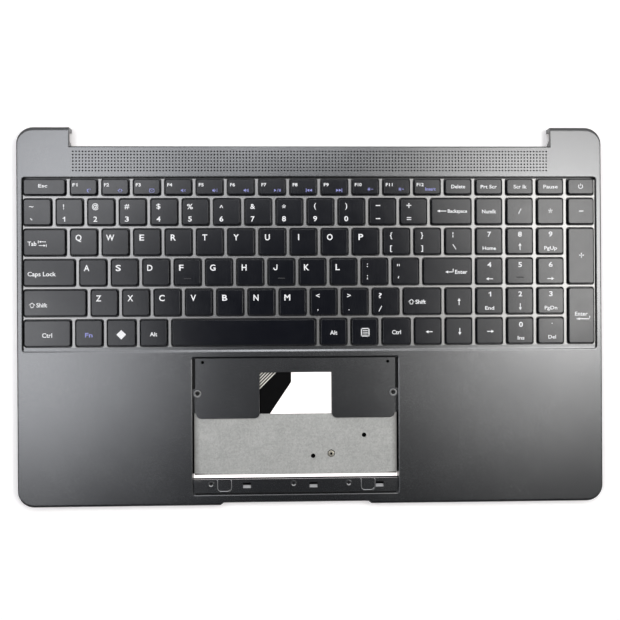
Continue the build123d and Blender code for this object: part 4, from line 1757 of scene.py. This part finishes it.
@dataclass
class Stencil:
    """Outlines of the drawn signs, about their middle."""

    line: float = 0.2

    def stroke(self, *points: Point, line: float | None = None) -> list[list[Point]]:
        """Returns one thin box for each run between points."""
        half = (line or self.line) / 2
        boxes = []
        for (ax, ay), (bx, by) in zip(points, points[1:]):
            length = math.hypot(bx - ax, by - ay)
            ux, uy = (bx - ax) / length * half, (by - ay) / length * half
            ax, ay, bx, by = ax - ux, ay - uy, bx + ux, by + uy
            boxes.append([(ax + uy, ay - ux), (bx + uy, by - ux), (bx - uy, by + ux), (ax - uy, ay + ux)])
        return boxes

    def arrow(
        self, length: float, angle: float, head: float = 0.5, stem: float = 0.2, reach: float = 0.9
    ) -> list[list[Point]]:
        """Returns an arrow that points along an angle.

        Args:
            length: From its tail to its tip.
            angle: Where it points, in degrees.
            head: Half the width of its head.
            stem: Width of its stem.
            reach: Length of its head.

        Returns:
            Its outline.
        """
        tip, neck, tail = length / 2, length / 2 - reach, -length / 2
        shape = [(tip, 0), (neck, head), (neck, stem / 2), (tail, stem / 2)]
        shape += [(x, -y) for x, y in reversed(shape[1:])]
        c, s = math.cos(math.radians(angle)), math.sin(math.radians(angle))
        return [[(x * c - y * s, x * s + y * c) for x, y in shape]]

    def character(self, sign: Sign) -> list[list[Point]]:
        """Returns a character that is drawn at its own size."""
        if sign is Sign.ONE:
            stem = [(0.3, -1.5), (0.95, -1.5), (0.95, 1.5), (0.45, 1.5)]
            return [stem + [(0.1, 1.0), (-0.65, 0.75), (-0.65, 0.3), (0.3, 0.5)]]
        if sign is Sign.HOOK:
            bowl = [(1.25, 1.75)] + arc((0, -0.5), 1.25, 360, 180, 10) + [(-1.25, -0.2), (-0.65, -0.2)]
            return [bowl + arc((0, -0.5), 0.65, 180, 360, 10) + [(0.65, 1.75)]]
        if sign is Sign.PLUS:
            return self.stroke((-1.2, 0), (1.2, 0), line=0.55) + self.stroke((0, -1.2), (0, 1.2), line=0.55)
        if sign is Sign.MINUS:
            return self.stroke((-1.1, 0), (1.1, 0), line=0.6)
        if sign is Sign.EQUALS:
            first = self.stroke((-1.1, 0.6), (1.1, 0.6), line=0.5)
            return first + self.stroke((-1.1, -0.6), (1.1, -0.6), line=0.5)
        if sign is Sign.SLASH:
            return self.stroke((-0.75, -1.45), (0.75, 1.45), line=0.48)
        if sign is Sign.BACKSLASH:
            return self.stroke((-0.9, 1.4), (0.9, -1.4), line=0.48)
        if sign is Sign.BROKEN_BAR:
            return self.stroke((0, 0.55), (0, 1.3), line=0.55) + self.stroke((0, -1.3), (0, -0.55), line=0.55)
        if sign is Sign.GRAVE:
            return self.stroke((-0.45, 0.45), (0.35, -0.4), line=0.5)
        if sign is Sign.QUOTE:
            return self.stroke((0.2, 0.45), (-0.1, -0.45), line=0.5)
        if sign is Sign.QUOTES:
            first = self.stroke((-0.55, 0.4), (-0.55, -0.4), line=0.5)
            return first + self.stroke((0.55, 0.4), (0.55, -0.4), line=0.5)
        tips = [arc((0, 0), 1.0, angle, angle, 1)[0] for angle in range(90, 450, 72)]
        return [box for tip in tips for box in self.stroke((0, 0), tip, line=0.46)]

    def speaker(self) -> list[list[Point]]:
        """Returns a loudspeaker seen from its side."""
        return [[(-1.3, -0.4), (-0.8, -0.4), (-0.1, -1), (-0.1, 1), (-0.8, 0.4), (-1.3, 0.4)]]

    def sun(self) -> list[list[Point]]:
        """Returns a sun with eight rays."""
        shape = [arc((-0.5, 0), 0.52, 0, 330, 11)]
        for step in range(8):
            c, s = math.cos(step * math.pi / 4), math.sin(step * math.pi / 4)
            shape += self.stroke((-0.5 + 0.75 * c, 0.75 * s), (-0.5 + 0.95 * c, 0.95 * s))
        return shape

    def outlines(self, sign: Sign) -> list[list[Point]]:
        """Returns a sign's outlines.

        Args:
            sign: The sign.

        Returns:
            Its outlines, each a list of corners.
        """
        if sign in (Sign.UP, Sign.DOWN, Sign.LEFT, Sign.RIGHT):
            turns = {Sign.UP: 90, Sign.DOWN: 270, Sign.LEFT: 180, Sign.RIGHT: 0}
            return self.arrow(4.3, turns[sign], 0.95, 0.5, 1.7)
        if sign in DRAWN.values():
            return self.character(sign)
        if sign is Sign.LONG_LEFT:
            return self.arrow(5.7, 180, 0.85, 0.5, 1.7)
        if sign is Sign.RETURN:
            return self.arrow(5.1, 180, 0.85, 0.5, 1.7) + self.stroke((2.3, 0), (2.3, 1.7), line=0.5)
        if sign is Sign.LONG_RETURN:
            return self.arrow(8.8, 180, 0.75, 0.6, 2.4) + self.stroke((4.1, 0), (4.1, 1.5), line=0.6)
        if sign is Sign.SHIFT:
            ring = [(0, 1.4), (1.55, 0.1), (0.8, 0.1), (0.8, -1.2), (-0.8, -1.2), (-0.8, 0.1), (-1.55, 0.1)]
            return self.stroke(*ring, ring[0], line=0.42)
        if sign is Sign.TAB:
            upper = [[(x, y + 0.75) for x, y in shape] for shape in self.arrow(2.8, 180, 0.45, 0.26)]
            lower = [[(x, y - 0.75) for x, y in shape] for shape in self.arrow(2.8, 0, 0.45, 0.26)]
            left = self.stroke((-1.6, 0.3), (-1.6, 1.2), line=0.26)
            return upper + lower + left + self.stroke((1.6, -1.2), (1.6, -0.3), line=0.26)
        if sign is Sign.LIST:
            ring = [(-1, -1), (1, -1), (1, 1), (-1, 1)]
            shape = self.stroke(*ring, ring[0], line=0.26)
            for level in (-0.45, 0, 0.45):
                shape += self.stroke((-0.35, level), (0.6, level), line=0.16)
                shape += self.stroke((-0.62, level), (-0.56, level), line=0.16)
            return shape
        if sign is Sign.DIAMOND:
            return [[(1, 0), (0, 1), (-1, 0), (0, -1)]]
        if sign is Sign.POWER:
            ring = arc((0, 0), 1, 125, 415, 20) + arc((0, 0), 0.72, 415, 125, 20)
            return [ring] + self.stroke((0, 0.3), (0, 1.1), line=0.26)
        if sign is Sign.MOON:
            crescent = arc((0, 0), 1, 60, 300, 14) + arc((0.45, 0), 0.85, 272, 88, 12)
            return [crescent] + self.stroke((0.55, 0.95), (1.1, 0.95), (0.6, 0.4), (1.15, 0.4), line=0.16)
        if sign is Sign.HOUSE:
            roof = self.stroke((-1.35, 0), (0, 1.1), (1.35, 0), line=0.28)
            return roof + self.stroke((-0.9, 0.1), (-0.9, -0.9), (0.9, -0.9), (0.9, 0.1), line=0.24)
        if sign is Sign.ENVELOPE:
            ring = [(-1.3, -0.9), (1.3, -0.9), (1.3, 0.9), (-1.3, 0.9)]
            return self.stroke(*ring, ring[0]) + self.stroke((-1.2, 0.8), (0, -0.1), (1.2, 0.8))
        if sign is Sign.MUTE:
            rising = self.stroke((0.35, -0.5), (1.2, 0.5))
            return self.speaker() + rising + self.stroke((0.35, 0.5), (1.2, -0.5))
        if sign is Sign.QUIETER:
            near = self.stroke((0.45, -0.4), (0.45, 0.4))
            return self.speaker() + near + self.stroke((1.3, -0.9), (1.3, 0.9))
        if sign is Sign.LOUDER:
            waves = self.stroke((0.35, -0.4), (0.35, 0.4)) + self.stroke((0.8, -0.65), (0.8, 0.65))
            return self.speaker() + waves + self.stroke((1.25, -0.9), (1.25, 0.9))
        if sign is Sign.PLAY:
            bars = self.stroke((1.1, -0.6), (1.1, 0.6), line=0.3)
            bars = bars + self.stroke((1.7, -0.6), (1.7, 0.6), line=0.3)
            return [[(-1.8, -0.8), (-0.5, 0), (-1.8, 0.8)]] + self.stroke((-0.1, -0.9), (0.5, 0.9)) + bars
        if sign in (Sign.PREVIOUS, Sign.NEXT):
            turn = 1 if sign is Sign.NEXT else -1
            shape = [[(-1.8, -0.75), (-0.5, 0), (-1.8, 0.75)], [(-0.4, -0.75), (0.9, 0), (-0.4, 0.75)]]
            shape += self.stroke((1.15, -0.75), (1.15, 0.75), line=0.34)
            return [[(x * turn, y) for x, y in outline] for outline in shape]
        if sign is Sign.DIMMER:
            return self.sun() + self.stroke((1.0, 0), (1.7, 0), line=0.26)
        level = self.stroke((1.0, 0), (1.6, 0), line=0.26)
        return self.sun() + level + self.stroke((1.3, -0.3), (1.3, 0.3), line=0.26)


# Keys


@dataclass
class Keys:
    """The keycaps: hollow, tapered, with round corners, a soft top edge, lettering and homing bars."""

    height: float = 2.4
    bottom: float = 6.1
    gap: float = 0.58
    draft: float = 0.12
    corner: float = 1.4
    edge: float = 0.5
    wall: float = 0.9
    roof: float = 1.4
    homing: frozenset[str] = frozenset({"f", "j", "pad_5"})
    bar_size: tuple[float, float, float] = (4.4, 0.55, 0.35)
    bar_share: float = 0.745
    web_bottom: float = 4.7
    dome_radius: float = 1.9
    dome_top: float = 1.0
    shapes: dict[Point, Piece] = field(default_factory=dict)
    printer: Printer = field(default_factory=Printer)

    @property
    def top(self) -> float:
        """Level of the caps' flat tops."""
        return self.bottom + self.height

    def _shape(self, size: Point) -> Piece:
        """Models one keycap about the origin.

        Args:
            size: Its opening in the web.

        Returns:
            The bare keycap.
        """
        width, depth = (side - 2 * self.gap for side in size)
        cap = add_block("cap", (-width / 2, -depth / 2, self.bottom), (width / 2, depth / 2, self.top))
        bevel(cap, upright, self.corner, 4)
        factors = [1 - 2 * self.draft / side for side in (width, depth)]
        with editing(cap):
            pick_faces(cap, faces_up)
            bpy.ops.transform.resize(value=(*factors, 1), center_override=(0, 0, self.top * MM))
        bevel(cap, top_rim, self.edge, 4)
        with editing(cap):
            pick_faces(cap, faces_down)
            bpy.ops.mesh.inset(thickness=(self.wall + self.draft) * MM)
            bpy.ops.mesh.extrude_region_move(
                TRANSFORM_OT_translate={"value": (0, 0, (self.height - self.roof) * MM)}
            )
        smooth(cap, 50)
        return cap

    def _letter(self, cell: KeyCell, finishes: Finishes) -> list[Piece]:
        """Prints a key's marks and returns the ink."""
        inks = []
        reach = 2 * (self.gap + self.draft / 2)
        width, depth = cell.width - reach, cell.depth - reach
        for mark in LETTERING.get(cell.name, ()):
            x, y = cell.x + (mark.x - 0.5) * width, cell.y + (0.5 - mark.y) * depth
            pen = self.printer.sign if isinstance(mark.what, Sign) else self.printer.word
            ink = pen(mark, x, y, self.top)
            wear(ink, finishes.white_ink if mark.ink is Ink.WHITE else finishes.blue_ink)
            inks.append(ink)
        return inks

    def _bar(self, cell: KeyCell) -> Piece:
        """Models the homing bar of a key."""
        length, across, rise = self.bar_size
        y = cell.y + (0.5 - self.bar_share) * (cell.depth - 2 * self.gap)
        bar = add_block(
            "bar",
            (cell.x - length / 2, y - across / 2, self.top - 0.1),
            (cell.x + length / 2, y + across / 2, self.top + rise),
        )
        bevel(bar, upright, across * 0.45, 3)
        bevel(bar, top_rim, rise * 0.6, 3)
        smooth(bar, 50)
        return bar

    def cap(self, cell: KeyCell, finishes: Finishes) -> Piece:
        """Models, prints and places one key.

        Args:
            cell: The key's opening.
            finishes: The materials.

        Returns:
            The key.
        """
        if cell.size not in self.shapes:
            self.shapes[cell.size] = self._shape(cell.size)
        cap = wear(copy_of(self.shapes[cell.size], "cap", (cell.x, cell.y, 0)), finishes.cap)
        parts = [cap]
        if cell.name in self.homing:
            parts.append(wear(self._bar(cell), finishes.link))
        return join(parts + self._letter(cell, finishes), f"keycap_{cell.name}")

    def dome(self, cell: KeyCell, high: float, finishes: Finishes) -> Piece:
        """Models the rubber dome under a key: a cone with a soft top."""
        bpy.ops.object.select_all(action="DESELECT")
        bpy.ops.mesh.primitive_cone_add(
            vertices=16,
            radius1=self.dome_radius * MM,
            radius2=self.dome_top * MM,
            depth=(high - self.web_bottom) * MM,
            location=(cell.x * MM, cell.y * MM, (high + self.web_bottom) / 2 * MM),
        )
        dome = settle(bpy.context.object, "dome")
        bevel(dome, top_rim, 0.3, 2)
        smooth(dome, 60)
        return wear(dome, finishes.dome)

    def build(self, cells: Sequence[KeyCell], finishes: Finishes) -> None:
        """Builds every key and sets it on its body.

        Args:
            cells: The key openings.
            finishes: The materials.
        """
        moving = set(frame["bodies"])
        still: list[Piece] = []
        for cell in cells:
            cap = self.cap(cell, finishes)
            if f"key_{cell.name}" not in moving:
                still += [cap, self.dome(cell, self.bottom + self.height - self.roof, finishes)]
                continue
            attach(cap, f"key_{cell.name}")
            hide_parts(f"key_{cell.name}")
        block = join(still, "fixed_keycaps")
        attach(block, "case")
        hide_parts("fixed_keys")
        for shape in self.shapes.values():
            discard(shape)
        LOG.info("keys: %d, of which %d move", len(cells), len(moving) - 1)


@dataclass
class KeySprings:
    """What carries each moving key: a rubber dome in crossed frames."""

    length: float = 10.0
    bar: float = 0.7
    thickness: float = 0.6
    side_gap: float = 0.2
    play: float = 0.05
    margin: float = 0.4
    row_depth: float = 17.0
    travel: float = 1.3
    shapes: dict[float, Piece] = field(default_factory=dict)

    def _frame(self, width: float, tilt: float, end: float) -> Piece:
        """Models one frame about the origin, tilted along X, with a bar of a thickness at its +X end."""
        half = self.length / 2
        corner = (half, width / 2, self.thickness / 2)
        link = add_block("link", tuple(-value for value in corner), corner)
        bevel(link, upright, 0.4, 2)
        hole = add_block(
            "hole", (-half + self.bar, -width / 2 + self.bar, -1), (half - end, width / 2 - self.bar, 1)
        )
        combine(link, hole, Join.CUT)
        link.rotation_euler = Euler((0, tilt, 0))
        return settle(link, "link")

    def build(self, cells: Sequence[KeyCell], keys: Keys, finishes: Finishes) -> None:
        """Builds the dome and frames under each moving key.

        Args:
            cells: The key openings.
            keys: The keys that they carry.
            finishes: The materials.
        """
        roof = keys.top - keys.roof
        rise = roof - keys.web_bottom
        tilt = math.asin((rise - 2 * self.play - self.thickness) / self.length)
        for cell in cells:
            if f"key_{cell.name}" not in frame["bodies"]:
                continue
            inset = keys.gap + keys.draft + keys.wall + self.margin
            width = round(min(cell.depth, self.row_depth) - 2 * inset, 3)
            if width not in self.shapes:
                inner = width - 2 * (self.bar + self.side_gap)
                self.shapes[width] = join(
                    [self._frame(width, -tilt, -1.0), self._frame(inner, tilt, self.bar)], "links"
                )
                smooth(self.shapes[width], 40)
            middle = keys.web_bottom + rise / 2
            links = wear(copy_of(self.shapes[width], "links", (cell.x, cell.y, middle)), finishes.link)
            spring = join([keys.dome(cell, roof, finishes), links], f"spring_{cell.name}")
            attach(spring, "case")
            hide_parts("rubber_domes", "scissor_links")
            (rise - self.travel) / rise
            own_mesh(spring)
        for shape in self.shapes.values():
            discard(shape)
        LOG.info("springs built")


# Touchpad bay and underside


@dataclass
class TouchpadBay:
    """The steel bracket under the touchpad opening, its nut and the two screws."""

    pad_x: float = -10.55
    pad_rear: float = -24.9
    half: float = 62.3
    rear: float = -59.85
    front: float = -97.0
    top: float = 4.6
    bottom: float = 3.9
    arm_inner: float = 24.1
    arm_rear: float = -44.7
    holes: tuple[Point, ...] = ((10.6, 11.0), (42.1, 23.6))
    hole_radius: float = 1.4
    screw_side: float = 60.0
    screw_y: float = -47.1
    screw_hole: float = 1.0
    shelf_top: float = 6.0
    screw_head: float = 2.2
    screw_rise: float = 0.9
    screw_dish: float = 1.25
    screw_radius: float = 0.9
    nut_place: Point = (21.7, 12.5)
    nut_flat: float = 1.7
    nut_moat: float = 0.45
    nut_height: float = 1.3
    nut_bore: float = 0.8

    @property
    def screws(self) -> list[Point]:
        """Axes of the two screws."""
        return [(self.pad_x + side * self.screw_side, self.screw_y) for side in (-1, 1)]

    @property
    def nut_axis(self) -> Point:
        """Axis of the nut."""
        return self.pad_x + self.nut_place[0], self.front + self.nut_place[1]

    def _bracket(self) -> Piece:
        """Models the plate with its arms and holes."""
        points: list[Point] = [(-self.half, self.front), (self.half, self.front), (self.half, self.arm_rear)]
        points += [(self.arm_inner, self.arm_rear), (self.arm_inner, self.rear)]
        points += [(-x, y) for x, y in reversed(points[2:])]
        outline = [(self.pad_x + x, y) for x, y in points]
        plate = add_prism("bracket_plate", outline, self.bottom, self.top)
        bevel(plate, upright, 0.5, 3)
        bevel(plate, top_rim, 0.12, 2)
        drills = [((self.pad_x + x, self.front + y), self.hole_radius) for x, y in self.holes]
        drills += [(place, self.screw_hole) for place in self.screws]
        drills.append((self.nut_axis, self.nut_bore))
        for place, radius in drills:
            combine(plate, add_round("drill", place, radius, self.bottom - 1, self.top + 1, 28), Join.CUT)
        moat = (self.nut_flat + self.nut_moat) / math.cos(math.pi / 6)
        combine(plate, add_round("moat", self.nut_axis, moat, self.top - 0.3, self.top + 1, 6), Join.CUT)
        smooth(plate, 35)
        return plate

    def _nut(self) -> Piece:
        """Models the clinched hexagon nut."""
        radius = self.nut_flat / math.cos(math.pi / 6)
        nut = add_round("clinch_nut", self.nut_axis, radius, self.top - 0.3, self.top + self.nut_height, 6)
        bevel(nut, top_rim, 0.25, 2)
        nut_top = self.top + self.nut_height
        bore = add_round("bore", self.nut_axis, self.nut_bore, self.top - 1, nut_top + 1, 20)
        combine(nut, bore, Join.CUT)
        smooth(nut, 30)
        return nut

    def _screws(self) -> Piece:
        """Models the two screws: dished round heads with a cross recess, on plain shanks."""
        made = []
        for place in self.screws:
            high = self.shelf_top + self.screw_rise
            head = add_round("head", place, self.screw_head, self.shelf_top, high, 32)
            bevel(head, top_rim, 0.35, 4)
            shank = add_round("shank", place, self.screw_radius, self.bottom, self.shelf_top + 0.3, 20)
            combine(head, shank, Join.ADD)
            dish = add_round("dish", place, self.screw_dish, high - 0.5, high - 0.4, 28)
            flare_top(dish, (2 * self.screw_dish, 2 * self.screw_dish), 0.4, 1)
            combine(head, dish, Join.CUT)
            for wide, long in ((0.35, 1.6), (1.6, 0.35)):
                recess = add_block(
                    "recess",
                    (place[0] - wide / 2, place[1] - long / 2, high - 0.7),
                    (place[0] + wide / 2, place[1] + long / 2, high + 1),
                )
                combine(head, recess, Join.CUT)
            made.append(head)
        screws = join(made, "bracket_fixings")
        smooth(screws, 35)
        return screws

    def _is_bright(self, place: Vector, normal: Vector) -> bool:
        """Tells whether a face of a screw gets the painted highlight: its rim or the lit side of its dish."""
        away = min(math.dist((place.x, place.y), axis) for axis in self.screws)
        if not 0.1 < normal.z < 0.97:
            return False
        return away > self.screw_head - 0.4 or (away > self.screw_dish - 0.05 and normal.y > 0.1)

    def _is_sunk(self, place: Vector, normal: Vector) -> bool:
        """Tells whether a face is the floor of the nut's moat or of a screw's dish, which get painted shade.
        """
        low, high = self.top - 0.1, self.shelf_top + self.screw_rise - 0.45
        return normal.z > 0.9 and (self.bottom < place.z < low or self.shelf_top + 0.05 < place.z < high)

    def build(self, finishes: Finishes) -> None:
        """Builds the bay's loose pieces and sets them on the case."""
        for piece, node, slot, finish in (
            (self._bracket(), "touchpad_bracket", "galvanised_steel", finishes.steel),
            (self._nut(), "bracket_nut", "nut_steel", finishes.nut),
            (self._screws(), "bracket_screws", "screw_steel", finishes.screw),
        ):
            wear(piece, finish)
            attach(piece, "case")
            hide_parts(node)
            # Painted shade: near-black on the floors of the moat and the dishes.
            if finish is not finishes.nut:
                repaint(piece, finishes.gasket, self._is_sunk)
            # Painted highlight on the screws' rims and the lit side of their dishes.
            if finish is finishes.screw:
                repaint(piece, finishes.rubbed, self._is_bright)
            LOG.info("%s stands for %s", piece.name, node)


@dataclass
class Underside:
    """The film cable and inserts as new pieces, and new finishes for the sheets under the keys."""

    cable_right: float = -13.25
    cable_width: float = 36.0
    cable_back: float = -10.9
    cable_knee: float = -40.55
    cable_end: float = -73.9
    cable_slant: float = 0.678
    cable_bottom: float = 3.65
    cable_top: float = 3.9
    insert_places: tuple[Point, ...] = ((-160.0, -104.0), (160.0, -104.0), (-160.0, 94.0), (160.0, 94.0))
    insert_radius: float = 1.6
    insert_bore: float = 0.9
    insert_bottom: float = 0.6
    insert_top: float = 3.6

    def _cable(self) -> Piece:
        """Models the film cable."""
        slant = (self.cable_knee - self.cable_end) * self.cable_slant
        right, left = self.cable_right, self.cable_right - self.cable_width
        outline = [
            (left, self.cable_back),
            (left, self.cable_knee),
            (left - slant, self.cable_end),
            (right - slant, self.cable_end),
            (right, self.cable_knee),
            (right, self.cable_back),
        ]
        cable = add_prism("film_cable", outline, self.cable_bottom, self.cable_top)
        bevel(cable, upright, 0.8, 4)
        smooth(cable, 30)
        return cable

    def _inserts(self) -> Piece:
        """Models the knurled inserts."""
        made = []
        for place in self.insert_places:
            body = add_round("insert", place, self.insert_radius, self.insert_bottom, self.insert_top, 40)
            axis = Vector(place) * MM
            for vertex in body.data.vertices:
                if vertex.index // 2 % 2:
                    vertex.co.xy = axis + (vertex.co.xy - axis) * 0.95
            bore = add_round("bore", place, self.insert_bore, self.insert_bottom - 1, self.insert_top + 1, 24)
            combine(body, bore, Join.CUT)
            made.append(body)
        inserts = join(made, "brass_inserts")
        smooth(inserts, 20)
        return inserts

    def build(self, finishes: Finishes) -> None:
        """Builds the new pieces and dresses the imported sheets."""
        for piece, node, slot, finish in (
            (self._cable(), "keyboard_ribbon", "ribbon_film", finishes.cable),
            (self._inserts(), "threaded_inserts", "insert_brass", finishes.brass),
        ):
            wear(piece, finish)
            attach(piece, "case")
            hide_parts(node)
            LOG.info("%s stands for %s", piece.name, node)
        for node, finish in (("keyboard_backplate", finishes.backplate), ("switch_membrane", finishes.film)):
            sheet = frame["nodes"][node]
            for slot in sheet.material_slots:
                slot.material = finish
            LOG.info("%s dressed", node)


# Studio


@dataclass(frozen=True)
class Panel:
    """One square soft panel that faces the case: its middle and side in metres, its power and tint."""

    x: float
    y: float
    watts: float
    tint: Colour = (1.0, 1.0, 1.0)
    level: float = 1.1
    side: float = 0.3


COOL: Colour = (0.99, 1.0, 1.03)
WARM: Colour = (1.01, 1.0, 0.98)


@dataclass
class Studio:
    """Floor, soft panels and the camera above the case."""

    floor_size: float = 6.0
    floor_drop: float = 0.05
    floor_colour: Colour = (0.98, 0.98, 0.98)
    # Painted shade: the floor is near-black under the case, so that it shows dark through the case's holes
    # and slots.
    below: Colour = (0.01, 0.01, 0.01)
    floor_glow: float = 0.22
    glow_tint: Colour = (1.0, 0.93, 0.91)
    footprint: tuple[Point, Point] = ((-172.0, 172.0), (-108.0, 103.0))
    # Painted light: the cable window and the gap in front of the steel, where the floor glows fully white
    # though the case shades it.
    windows: tuple[tuple[Point, Point], ...] = (
        ((-32.6, 11.6), (-62.0, -34.0)),
        ((-73.7, 52.6), (-99.7, -97.0)),
    )
    zenith: Colour = (0.018, 0.024, 0.036)
    horizon: Colour = (0.42, 0.42, 0.42)
    panels: tuple[Panel, ...] = (
        Panel(-0.6, -0.3, 0.3, COOL),
        Panel(-0.6, -0.1, 0.78, COOL),
        Panel(-0.6, 0.1, 0.7, COOL),
        Panel(-0.6, 0.3, 0.35, COOL),
        Panel(-0.4, -0.1, 0.8, COOL),
        Panel(-0.4, 0.1, 0.15, COOL),
        Panel(-0.4, 0.3, 1.31, COOL),
        Panel(-0.2, 0.3, 0.38, COOL),
        Panel(0.0, 0.5, 2.33, COOL),
        Panel(0.4, -0.1, 0.52, WARM),
        Panel(0.4, 0.1, 0.32, WARM),
        Panel(0.4, 0.3, 1.45, WARM),
        Panel(0.6, -0.1, 0.52, WARM),
        Panel(0.6, 0.1, 2.65, WARM),
        Panel(0.6, 0.4, 0.7, WARM),
        Panel(0.0, -1.6, 1.0, WARM, 0.9, 0.6),
    )
    camera_place: tuple[float, float, float] = (-18.5, 2.95, 527.6)
    camera_turn: tuple[float, float, float] = (0.10, -1.87, -0.32)
    focal_pixels: float = 850.0
    image_pixels: float = 620.0
    sensor: float = 36.0

    def _seen(self, graph: ShaderGraph) -> Socket:
        """Gives 1 for what the camera sees, straight or in a reflection, else 0."""
        paths = [graph.add("ShaderNodeLightPath", output=f"Is {name} Ray") for name in ("Camera", "Glossy")]
        return 1 - (1 - paths[0]) * (1 - paths[1])

    def _within(self, graph: ShaderGraph, area: tuple[Point, Point]) -> Socket:
        """Gives 1 inside an area of the floor, else 0."""
        place = graph.place()
        inside: Value = 1.0
        for name, (low, high) in zip("XY", area):
            along = graph.axis(place, name)
            inside = (along > low * MM) * (along < high * MM) * inside
        return inside

    def _floor(self) -> None:
        """Lays a white floor that keeps the shadow, with painted shade below the case and painted light in
        its two windows.
        """
        bpy.ops.object.select_all(action="DESELECT")
        bpy.ops.mesh.primitive_plane_add(size=self.floor_size, location=(0, 0, -self.floor_drop * MM))
        floor = settle(bpy.context.object, "floor")
        material = Material("pale_floor")
        graph = material.graph
        under = self._within(graph, self.footprint)
        backdrop_and_window_light = (1 - under) * self.floor_glow
        # Painted light in the windows replaces the painted shade there.
        for window in self.windows:
            seen = self._within(graph, window)
            backdrop_and_window_light, under = backdrop_and_window_light + seen, under - seen
        material.shade(
            Base_Color=graph.mix(under, self.floor_colour, self.below),
            Roughness=0.9,
            Specular=0.0,
            Emission_Color=graph.mix(backdrop_and_window_light * self._seen(graph), (0.0, 0.0, 0.0), self.glow_tint),
            Emission_Strength=1.0,
        )
        wear(floor, material.data)

    def _world(self) -> None:
        """Sets a sky that is dim overhead and pale near the horizon, which the camera sees as white."""
        world = bpy.data.worlds.new("studio_sky")
        world.use_nodes = True
        bpy.context.scene.world = world
        graph = ShaderGraph(world.node_tree)
        camera = graph.add("ShaderNodeLightPath", output="Is Camera Ray")
        height = graph.axis(graph.add("ShaderNodeTexCoord", output="Generated"), "Z")
        sky = graph.mix((0.75 - height) * 3, self.zenith, self.horizon)
        colour = graph.mix(camera, sky, (1.0, 1.0, 1.0))
        light = graph.add("ShaderNodeBackground", None, {"Color": colour, "Strength": 1.0})
        graph.add("ShaderNodeOutputWorld", None, {"Surface": light})

    def _hang(self, name: str, panel: Panel) -> None:
        """Hangs a soft panel that faces the middle of the case."""
        bpy.ops.object.select_all(action="DESELECT")
        place = (panel.x, panel.y, panel.level)
        bpy.ops.object.light_add(type="AREA", location=place)
        lamp = bpy.context.object
        lamp.name = name
        lamp.data.shape = "SQUARE"
        lamp.data.size = panel.side
        lamp.data.energy = panel.watts
        lamp.data.color = panel.tint
        lamp.rotation_euler = Vector(place).to_track_quat("Z", "Y").to_euler()

    def _camera(self) -> None:
        """Sets the camera above the case, as in the photograph."""
        bpy.ops.object.camera_add()
        camera = bpy.context.object
        camera.data.sensor_width = self.sensor
        camera.data.lens = self.focal_pixels / self.image_pixels * self.sensor
        camera.data.dof.use_dof = False
        camera.location = Vector(self.camera_place) * MM
        camera.rotation_euler = Euler([math.radians(turn) for turn in self.camera_turn])
        bpy.context.scene.camera = camera

    def build(self) -> None:
        """Builds the studio."""
        self._floor()
        self._world()
        for number, panel in enumerate(self.panels):
            self._hang(f"panel_{number}", panel)
        self._camera()
        bpy.context.scene.view_settings.view_transform = "Standard"
        LOG.info("studio built")


def write_sizes() -> None:
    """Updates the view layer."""
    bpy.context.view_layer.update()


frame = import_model()


def main() -> None:
    """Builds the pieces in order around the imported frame."""
    logging.basicConfig(level=logging.INFO, format="%(name)s: %(message)s")
    Studio().build()
    finishes = Finishes()
    cells = KeyField().cells()
    shell = TopShell()
    body = shell.build(cells)
    shell.dress(body, finishes)
    LOG.info("%s: %d faces", body.name, len(body.data.polygons))
    keys = Keys()
    keys.build(cells, finishes)
    KeySprings().build(cells, keys, finishes)
    TouchpadBay().build(finishes)
    Underside().build(finishes)
    write_sizes()


if __name__ == "__main__":
    main()
